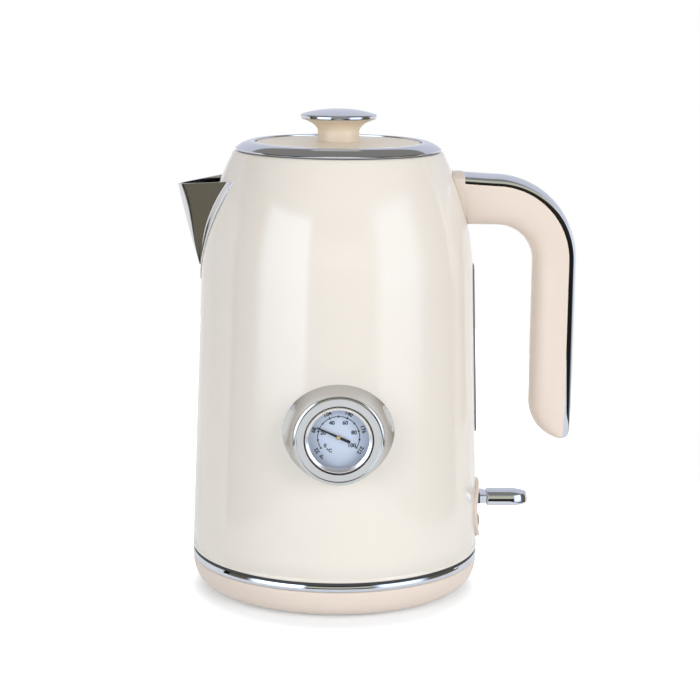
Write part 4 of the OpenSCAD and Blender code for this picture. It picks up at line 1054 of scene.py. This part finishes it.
@dataclass
class Lid:
    """The lid: bright rim, cream disc, steel cup, seal and the mushroom knob."""

    low_z: float = 227.1
    rim_r: float = 52.6
    rim_w: float = 7.4
    rim_ease: float = 1.8
    hem: float = 1.1
    crest_z: float = 231.6
    disc_r: float = 42.6
    cup_r: float = 44.6
    knob_r: float = 19.5
    neck_r: float = 10.6
    flare_z: float = 236.6
    cap_h: float = 4.8
    top_z: float = 248.0

    def rim(self) -> None:
        """The rim: a tight outer edge, then a slope that eases into the flat crest."""
        t = np.linspace(0, 1, 40)
        rise = self.crest_z - self.low_z - self.hem
        slope = np.stack([self.rim_r - self.rim_w * t,
                          self.low_z + self.hem + rise * (1 - (1 - t) ** self.rim_ease)], -1)
        inner_r = self.rim_r - self.rim_w
        inner = rounded([(inner_r, self.crest_z), (self.disc_r, self.crest_z), (self.disc_r, self.low_z),
                         (inner_r, self.low_z)], [0, 0.35, 0.1, 0.0])
        outline = np.concatenate([[(self.rim_r - 0.9, self.low_z), (self.rim_r - 0.35, self.low_z + 0.15),
                                   (self.rim_r - 0.06, self.low_z + 0.6)], slope, inner[1:-1]])
        make_piece("lid_band", turned(outline, 256), CHROME, "lid_rim", crease=50)

    def disc(self) -> None:
        """The painted disc, slightly crowned towards the knob."""
        outline = rounded([(0, self.low_z), (self.disc_r - 0.25, self.low_z), (self.disc_r - 0.25, 230.95),
                           (30, 231.25), (16, 231.4), (0, 231.4)], [0, 0.1, 0.8, 20, 20, 0], 10)
        # The disc's cream is lighter than the other cream plastic: painted light on the lid's top.
        make_piece("lid_panel", turned(outline), LID_SATIN_LIT, "lid_disc")

    def cup(self) -> None:
        """The pressed cup under the lid, open downwards, and the seal round it."""
        r = self.cup_r
        outline = rounded([(0, 226.1), (r - 0.8, 226.1), (r - 0.8, 216.5), (r, 216.5), (r, self.low_z),
                           (0, self.low_z)], [0, 1.2, 0.35, 0.35, 0.1, 0], 6)
        make_piece("lid_pan", turned(outline), STEEL, "lid_cup")
        ribs = rounded([(r, 219), (45.6, 219), (46.2, 219.8), (45.7, 220.5), (46.2, 221.2), (46.2, 221.8),
                        (45.6, 223), (r, 223)], [0.1, 0.3, 0.2, 0.2, 0.1, 0.1, 0.3, 0.1], 4)
        make_piece("lid_gasket", turned(ribs), SILICONE, "lid_seal")

    def knob(self) -> None:
        """The flared stem and the domed cap that sits on it."""
        t = np.linspace(0, 1, 24)
        top = self.top_z - self.cap_h
        flare = np.stack([self.neck_r + (self.knob_r - 0.9 - self.neck_r) * t ** 1.9,
                          self.flare_z + (top - 0.35 - self.flare_z) * (1 - (1 - t) ** 1.15)], -1)
        foot = np.array([(2.0, 231.4), (self.neck_r + 0.7, 231.4), (self.neck_r + 0.15, 231.7),
                         (self.neck_r, 232.4)])
        head = np.array([(self.knob_r - 0.7, top - 0.1), (self.knob_r - 1.2, top), (0, top), (0, 239.5),
                         (2.0, 239.5)])
        # The stem's darker cream is painted shade from the cap above it.
        make_piece("knob_post", turned(np.concatenate([foot, flare, head]), 128), STEM_SHADED, "knob_stem", crease=50)
        k = np.linspace(0.965, 0, 28)
        dome = np.stack([self.knob_r * k, top + 1.95 + 2.85 * (1 - k ** 2.2)], -1)
        edge = np.array([(0, top), (self.knob_r - 0.5, top), (self.knob_r - 0.15, top + 0.1),
                         (self.knob_r, top + 0.4), (self.knob_r, top + 1.4), (self.knob_r - 0.1, top + 1.75),
                         (self.knob_r - 0.35, top + 1.98)])
        make_piece("knob_top", turned(np.concatenate([edge, dome]), 128), CHROME, "knob_cap", crease=50)


# ------------------------------------------------------------------ power base

@dataclass
class PowerBase:
    """The base under the jug, its cord bush and the swivelling connector."""

    r: float = 74.8
    rim_z: float = 15.0
    low_z: float = 1.0
    edge: float = 9.5
    wall: float = 2.5
    deck_z: float = 12.0
    cord_z: float = 6.2

    def shell(self) -> None:
        """The moulded shell: a quarter ellipse under a short upright wall, and the deck inside its rim."""
        a = np.radians(np.linspace(-90, 0, 32))
        height = self.rim_z - 1.2 - self.low_z
        under = np.stack([self.r - self.edge + self.edge * np.cos(a),
                          self.rim_z - 1.2 + height * np.sin(a)], -1)
        inside = under[::-1] - [self.wall, 0]
        inside = inside[inside[:, 1] < 9.5]
        rim = rounded([(self.r, self.rim_z - 1.2), (self.r, self.rim_z), (72.0, self.rim_z),
                       (72.0, self.deck_z), (13.0, self.deck_z), (13.0, 9.5), (inside[0, 0], 9.5)],
                      [0, 0.7, 0.5, 0.6, 0.4, 0.2, 0], 6)
        outline = np.concatenate([under, rim[rim[:, 1] > 9.4], inside])
        holes = tuple(moved(prism(circle(48) * r, start, 80), Y_BACKWARD, (0, 0, self.cord_z))
                      for r, start in ((3.25, 60), (4.7, 72.2)))
        make_piece("base_body", turned(outline, 256), SATIN, "base_shell",
                   cutters=holes, crease=50)

    def bush(self) -> None:
        """The grommet at the rear, with an eased mouth."""
        outline = rounded([(2.6, 67), (3.2, 67), (3.2, 72.2), (4.6, 72.2), (4.6, 74), (2.6, 74)],
                          [0.1, 0.2, 0, 0.1, 0.6, 0.5], 5)
        make_piece("cord_grommet", moved(turned(outline, 48), Y_BACKWARD, (0, 0, self.cord_z)),
                   BLACK, "cord_bush")

    def connector(self) -> None:
        """The hub and tower, with its two contact rings and the earth pin."""
        tower = rounded([(0, 4.2), (15, 4.2), (15, 9.2), (12.6, 9.2), (12.6, 12.0), (8.8, 12.0), (8.8, 26),
                         (3.2, 26), (3.2, 16), (0, 16)], [0, 0.3, 0.3, 0, 0.4, 0.8, 1.0, 0.6, 0.2, 0], 5)
        make_piece("connector_tower", turned(tower, 96), BLACK, "connector_housing")
        rings = [rounded([(8.8, z), (9.4, z), (9.4, z + 2.5), (8.8, z + 2.5)], [0, 0.3, 0.3, 0], 4)
                 for z in (17, 21.5)]
        make_piece("connector_bands", turned(rings[0], 96) + turned(rings[1], 96), BRASS, "connector_rings")
        pin = rounded([(0, 16), (1.6, 16), (1.6, 27.5), (0, 27.5)], [0, 0, 1.1, 0], 6)
        make_piece("connector_earth", turned(pin, 48), BRASS, "connector_pin")


# ------------------------------------------------------------------ studio

@dataclass(frozen=True)
class SoftBox:
    """A soft box in front of the kettle: where it stands, how large it is and how bright."""

    name: str
    azimuth: float
    distance: float
    wide: float
    tall: float
    glow: float
    low: float = 0.03
    mirrored: bool = False

    def build(self) -> None:
        """Puts the lamp in the scene, upright and turned to the kettle's axis."""
        a = math.radians(self.azimuth)
        lamp = bpy.data.lights.new(self.name, "AREA")
        lamp.shape, lamp.size, lamp.size_y = "RECTANGLE", self.wide, self.tall
        lamp.energy = self.glow * math.pi * self.wide * self.tall
        obj = linked(self.name, lamp)
        away = np.array([math.sin(a), -math.cos(a), 0.0])
        place = away * self.distance + [0, 0, self.low + self.tall / 2]
        side = np.cross([0, 0, 1], away)
        obj.matrix_world = Matrix.Translation(place) @ Matrix(
            np.stack([side, [0, 0, 1], away], -1).tolist()).to_4x4()
        obj.visible_glossy = self.mirrored


@dataclass(frozen=True)
class Card:
    """A bright card that only reflections see: it fades out from full to out at each side and at its top."""

    name: str
    out: tuple[float, float]
    full: tuple[float, float]
    top: float
    glow: float
    tint: Colour


class StageMaterial:
    """A stage material that glows, with the place on the stage split into X, Y and Z."""

    def __init__(self, name: str) -> None:
        """Makes the material with its emission."""
        self.mat = bpy.data.materials.new(name)
        self.mat.use_nodes = True
        self.mat.node_tree.nodes.clear()
        self.link = self.mat.node_tree.links.new
        self.out, self.light = self.add("OutputMaterial"), self.add("Emission")
        self.link(self.light.outputs[0], self.out.inputs["Surface"])
        split = self.add("SeparateXYZ")
        self.link(self.add("TexCoord").outputs["Object"], split.inputs[0])
        self.x, self.y, self.z = split.outputs

    def add(self, kind: str) -> bpy.types.Node:
        """A new shader node."""
        return self.mat.node_tree.nodes.new(f"ShaderNode{kind}")

    def math(self, operation: str, *values: object) -> bpy.types.NodeSocket:
        """A math node, each input a number or a socket."""
        node = self.add("Math")
        node.operation = operation
        for socket, value in zip(node.inputs, values):
            if isinstance(value, (int, float)):
                socket.default_value = value
            else:
                self.link(value, socket)
        return node.outputs[0]

    def fade(self, value: bpy.types.NodeSocket, start: float, stop: float) -> bpy.types.NodeSocket:
        """A smooth step from 0 at start to 1 at stop."""
        node = self.add("MapRange")
        node.interpolation_type = "SMOOTHSTEP"
        node.inputs["From Min"].default_value, node.inputs["From Max"].default_value = start, stop
        self.link(value, node.inputs["Value"])
        return node.outputs["Result"]

    def both(self, *masks: bpy.types.NodeSocket) -> bpy.types.NodeSocket:
        """The product of masks."""
        product = masks[0]
        for mask in masks[1:]:
            product = self.math("MULTIPLY", product, mask)
        return product

    def azimuth(self) -> bpy.types.NodeSocket:
        """The place's azimuth in radians from the front, positive to the right."""
        return self.math("ARCTAN2", self.x, self.math("MULTIPLY", self.y, -1.0))

    def painted(self, first: Colour, *steps: tuple[bpy.types.NodeSocket, Colour]) -> None:
        """Glows in a first colour, with further colours laid over it by their masks."""
        below: bpy.types.NodeSocket | None = None
        for mask, colour in steps:
            mix = self.add("Mix")
            mix.data_type = "RGBA"
            self.link(mask, mix.inputs["Factor"])
            mix.inputs["A"].default_value, mix.inputs["B"].default_value = (*first, 1), (*colour, 1)
            if below:
                self.link(below, mix.inputs["A"])
            below = mix.outputs["Result"]
        self.link(below, self.light.inputs["Color"])


@dataclass
class Studio:
    """Floor, world, lamps, the room that reflections see, and the camera."""

    eye: tuple[float, float, float] = (-0.018, -0.98134, 0.3145)
    pitch: float = 11.05
    yaw: float = 1.46
    roll: float = 0.61
    focal_px: float = 1917.0
    picture: int = 700
    sensor: float = 36.0
    shadow_middle: float = 0.014
    shadow_rim: tuple[float, float] = (0.066, 0.090)
    room_r: float = 2100.0
    room_low: float = -1500.0
    ceiling_z: float = 1250.0
    card_r: float = 1250.0
    card_low: float = -300.0
    cards: tuple[Card, ...] = (
        Card("card_left", (-73, -21.5), (-59, -28), 0.82, 3.3, (0.85, 1.0, 1.2)),
        Card("card_right", (25.8, 78.7), (39.8, 62.2), 0.9, 2.0, (1.0, 1.15, 1.4)))
    boxes: tuple[SoftBox, ...] = (
        SoftBox("softbox_left", -38, 1.25, 0.62, 0.72, 3.8),
        SoftBox("softbox_right", 42, 1.25, 0.78, 0.86, 3.85),
        SoftBox("strip_right", 108, 1.3, 0.10, 0.9, 1.2, 0.05, True),
        SoftBox("softbox_back", 172, 1.35, 0.8, 0.8, 3.4))

    def camera(self) -> None:
        """Sets the camera from its place, its turn to the right, its dip and its roll."""
        p, y, r = (math.radians(v) for v in (self.pitch, self.yaw, self.roll))
        ahead = np.array([math.sin(y) * math.cos(p), math.cos(y) * math.cos(p), -math.sin(p)])
        right = np.array([math.cos(y), -math.sin(y), 0.0])
        up = np.cross(right, ahead)
        right, up = right * math.cos(r) + up * math.sin(r), up * math.cos(r) - right * math.sin(r)
        cam = bpy.data.cameras.new("camera")
        cam.sensor_width = self.sensor
        cam.lens = self.focal_px / self.picture * self.sensor
        cam.clip_start, cam.clip_end = 0.05, 50
        obj = linked("camera", cam)
        turn = Matrix(np.stack([right, up, -ahead], -1).tolist()).to_4x4()
        obj.matrix_world = Matrix.Translation(self.eye) @ turn
        bpy.context.scene.camera = obj

    def staged(self, name: str, mat: StageMaterial, x: Floats, y: Floats, z: Floats, **closed: bool) -> None:
        """Puts a sheet of the stage in the scene. Only reflections see it, unless it is the floor.

        Args:
            name: Its name.
            mat: Its material.
            x: X in millimetres, in rows and columns that may be broadcast, as y and z.
            y: Y in millimetres.
            z: Z in millimetres.
            **closed: What lattice takes.
        """
        points = np.stack(np.broadcast_arrays(x, y, z), -1)
        obj = linked(name, mesh_of(name, lattice(points, **closed)))
        obj.data.materials.append(mat.mat)
        if name != "floor":
            obj.visible_camera = obj.visible_diffuse = obj.visible_transmission = obj.visible_shadow = False

    def floor(self) -> None:
        """A white table that keeps the kettle's shadow close to it and fades into the backdrop."""
        mat = StageMaterial("floor_white")
        matte, both, path = mat.add("BsdfDiffuse"), mat.add("AddShader"), mat.add("LightPath").outputs
        ahead = mat.math("ADD", mat.y, self.shadow_middle)
        away = mat.math("SQRT", mat.math("ADD", mat.math("MULTIPLY", mat.x, mat.x),
                                         mat.math("MULTIPLY", ahead, ahead)))
        share = mat.math("ADD", 0.28, mat.math("MULTIPLY", mat.fade(away, *self.shadow_rim), 0.72))
        bounced = mat.math("ADD", path["Is Glossy Ray"], path["Is Transmission Ray"])
        mirrored = mat.math("MULTIPLY", bounced, 0.3)
        seen = mat.math("MULTIPLY", path["Is Camera Ray"], share)
        mat.link(mat.math("ADD", seen, mirrored), mat.light.inputs["Strength"])
        matte.inputs["Color"].default_value = (0.83, 0.86, 0.88, 1)
        mat.link(matte.outputs[0], both.inputs[0])
        mat.link(mat.light.outputs[0], both.inputs[1])
        mat.link(both.outputs[0], mat.out.inputs["Surface"])
        a = np.linspace(0, 2 * np.pi, 96, endpoint=False)[None]
        wide, deep = (np.array([0, 60, 120, end])[:, None] for end in (240, 900))
        self.staged("floor", mat, wide * np.cos(a), deep * np.sin(a), 0.0, close_cols=True)

    def world(self) -> None:
        """White for the camera, reflections and clear pieces, and an even grey for diffuse light."""
        world = bpy.data.worlds.new("studio")
        bpy.context.scene.world = world
        world.use_nodes = True
        nodes, link = world.node_tree.nodes, world.node_tree.links.new
        path, mix = nodes.new("ShaderNodeLightPath"), nodes.new("ShaderNodeMix")
        mix.data_type = "RGBA"
        mix.inputs["A"].default_value, mix.inputs["B"].default_value = (1, 1, 1, 1), (0.43, 0.43, 0.44, 1)
        link(path.outputs["Is Diffuse Ray"], mix.inputs["Factor"])
        link(mix.outputs["Result"], nodes["Background"].inputs["Color"])

    def room(self) -> None:
        """The dark room that reflections see in front and at the sides, down to its ground."""
        mat = StageMaterial("room_dark")
        turn = mat.azimuth()
        wide = mat.math("ABSOLUTE", turn)
        shelf = mat.both(mat.fade(mat.z, 0.26, 0.32), mat.fade(mat.z, 0.80, 0.68), mat.fade(wide, 0.58, 0.45))
        mat.painted((0.035, 0.030, 0.024), (mat.fade(mat.z, 0.0, -0.05), (0.02, 0.018, 0.015)),
                    (mat.fade(wide, 1.0, 1.2), (0.17, 0.15, 0.11)),
                    (mat.fade(turn, -1.57, -1.60), (0.005, 0.005, 0.007)), (shelf, (0.74, 0.73, 0.57)))
        a = np.radians(np.linspace(-97, 112, 84))[None]
        rows = np.array([self.room_low, 0, self.ceiling_z])[:, None]
        self.staged("room", mat, self.room_r * np.sin(a), -self.room_r * np.cos(a), rows)
        reach = np.array([0, 0.5, 1])[:, None] * self.room_r
        self.staged("ground", mat, reach * np.sin(a), -reach * np.cos(a), self.room_low)

    def ceiling(self) -> None:
        """The ceiling, with a pale patch and a pale back."""
        mat = StageMaterial("room_ceiling")
        patch = mat.both(mat.fade(mat.math("ABSOLUTE", mat.x), 0.17, 0.12), mat.fade(mat.y, 0.68, 0.74),
                         mat.fade(mat.y, 1.0, 0.92))
        mat.painted((0.30, 0.285, 0.26), (mat.fade(mat.y, 0.0, -0.1), (0.40, 0.41, 0.44)),
                    (patch, (0.78, 0.76, 0.70)), (mat.fade(mat.y, 1.20, 1.35), (0.74, 0.77, 0.86)))
        top = self.ceiling_z
        self.staged("ceiling", mat, np.array([-4500, 0, 4500])[None],
                    np.array([-self.room_r, 0, 2500, 5000, 5000])[:, None],
                    np.array([top, top, top, top, 500])[:, None])

    def card(self, card: Card) -> None:
        """A soft box as reflections see it: a bright card that fades out on all sides."""
        mat = StageMaterial(card.name)
        turn = mat.math("MULTIPLY", mat.azimuth(), 180 / math.pi)
        wide = mat.both(mat.fade(turn, card.out[0], card.full[0]), mat.fade(turn, card.out[1], card.full[1]))
        tall = mat.both(mat.fade(mat.z, card.top, card.top - 0.12), mat.fade(mat.z, -0.28, 0.12))
        clear, mix = mat.add("BsdfTransparent"), mat.add("MixShader")
        mat.link(mat.both(wide, tall), mix.inputs[0])
        mat.link(clear.outputs[0], mix.inputs[1])
        mat.link(mat.light.outputs[0], mix.inputs[2])
        mat.light.inputs["Strength"].default_value = card.glow
        mat.light.inputs["Color"].default_value = (*card.tint, 1)
        mat.link(mix.outputs[0], mat.out.inputs["Surface"])
        a = np.radians(np.linspace(*card.out, 40))[None]
        rows = np.linspace(self.card_low, card.top / MM, 12)[:, None]
        self.staged(card.name, mat, self.card_r * np.sin(a), -self.card_r * np.cos(a), rows)

    def overhead(self) -> None:
        """A wide soft light above, which no reflection shows."""
        top = bpy.data.lights.new("overhead", "AREA")
        top.shape, top.size, top.energy = "SQUARE", 1.6, 3.4
        obj = linked("overhead", top)
        obj.visible_glossy = False
        obj.matrix_world = Matrix.Translation((0.0, 0.6, 1.5))

    def build(self) -> None:
        """Sets up the whole studio."""
        self.camera()
        self.floor()
        self.world()
        self.room()
        self.ceiling()
        for card in self.cards:
            self.card(card)
        for box in self.boxes:
            box.build()
        self.overhead()
        bpy.context.scene.view_settings.view_transform = "Standard"


# ------------------------------------------------------------------ all together

def dress_nodes() -> None:
    """Gives each node of the frame the finish of its slot."""
    for name, obj in frame["nodes"].items():
        obj.data.materials.clear()
        obj.data.materials.append(BY_SLOT[SLOT_OF[name]].material())


def main() -> None:
    """Builds the studio and then every sub-assembly, from the table upwards."""
    logging.basicConfig(level=logging.INFO, format="%(message)s")
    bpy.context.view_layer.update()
    Studio().build()
    dress_nodes()
    jug = Jug()
    spout, window, switch = Spout(jug), WaterWindow(jug), Switch(jug)
    handle, dial, base, lid = Handle(jug), Thermometer(jug), PowerBase(), Lid()
    for build in (base.shell, base.bush, base.connector, jug.foot, jug.cover, spout.trough, spout.flange,
                  window.build, handle.grip, handle.strip, dial.housing, dial.bead, dial.pane, dial.face,
                  dial.needle, switch.plate, switch.lens, switch.lever, lid.rim, lid.disc, lid.cup, lid.knob):
        build()
    jug.shell((spout.opening(), window.cutter(), *switch.cutters()))


if __name__ == "__main__":
    main()
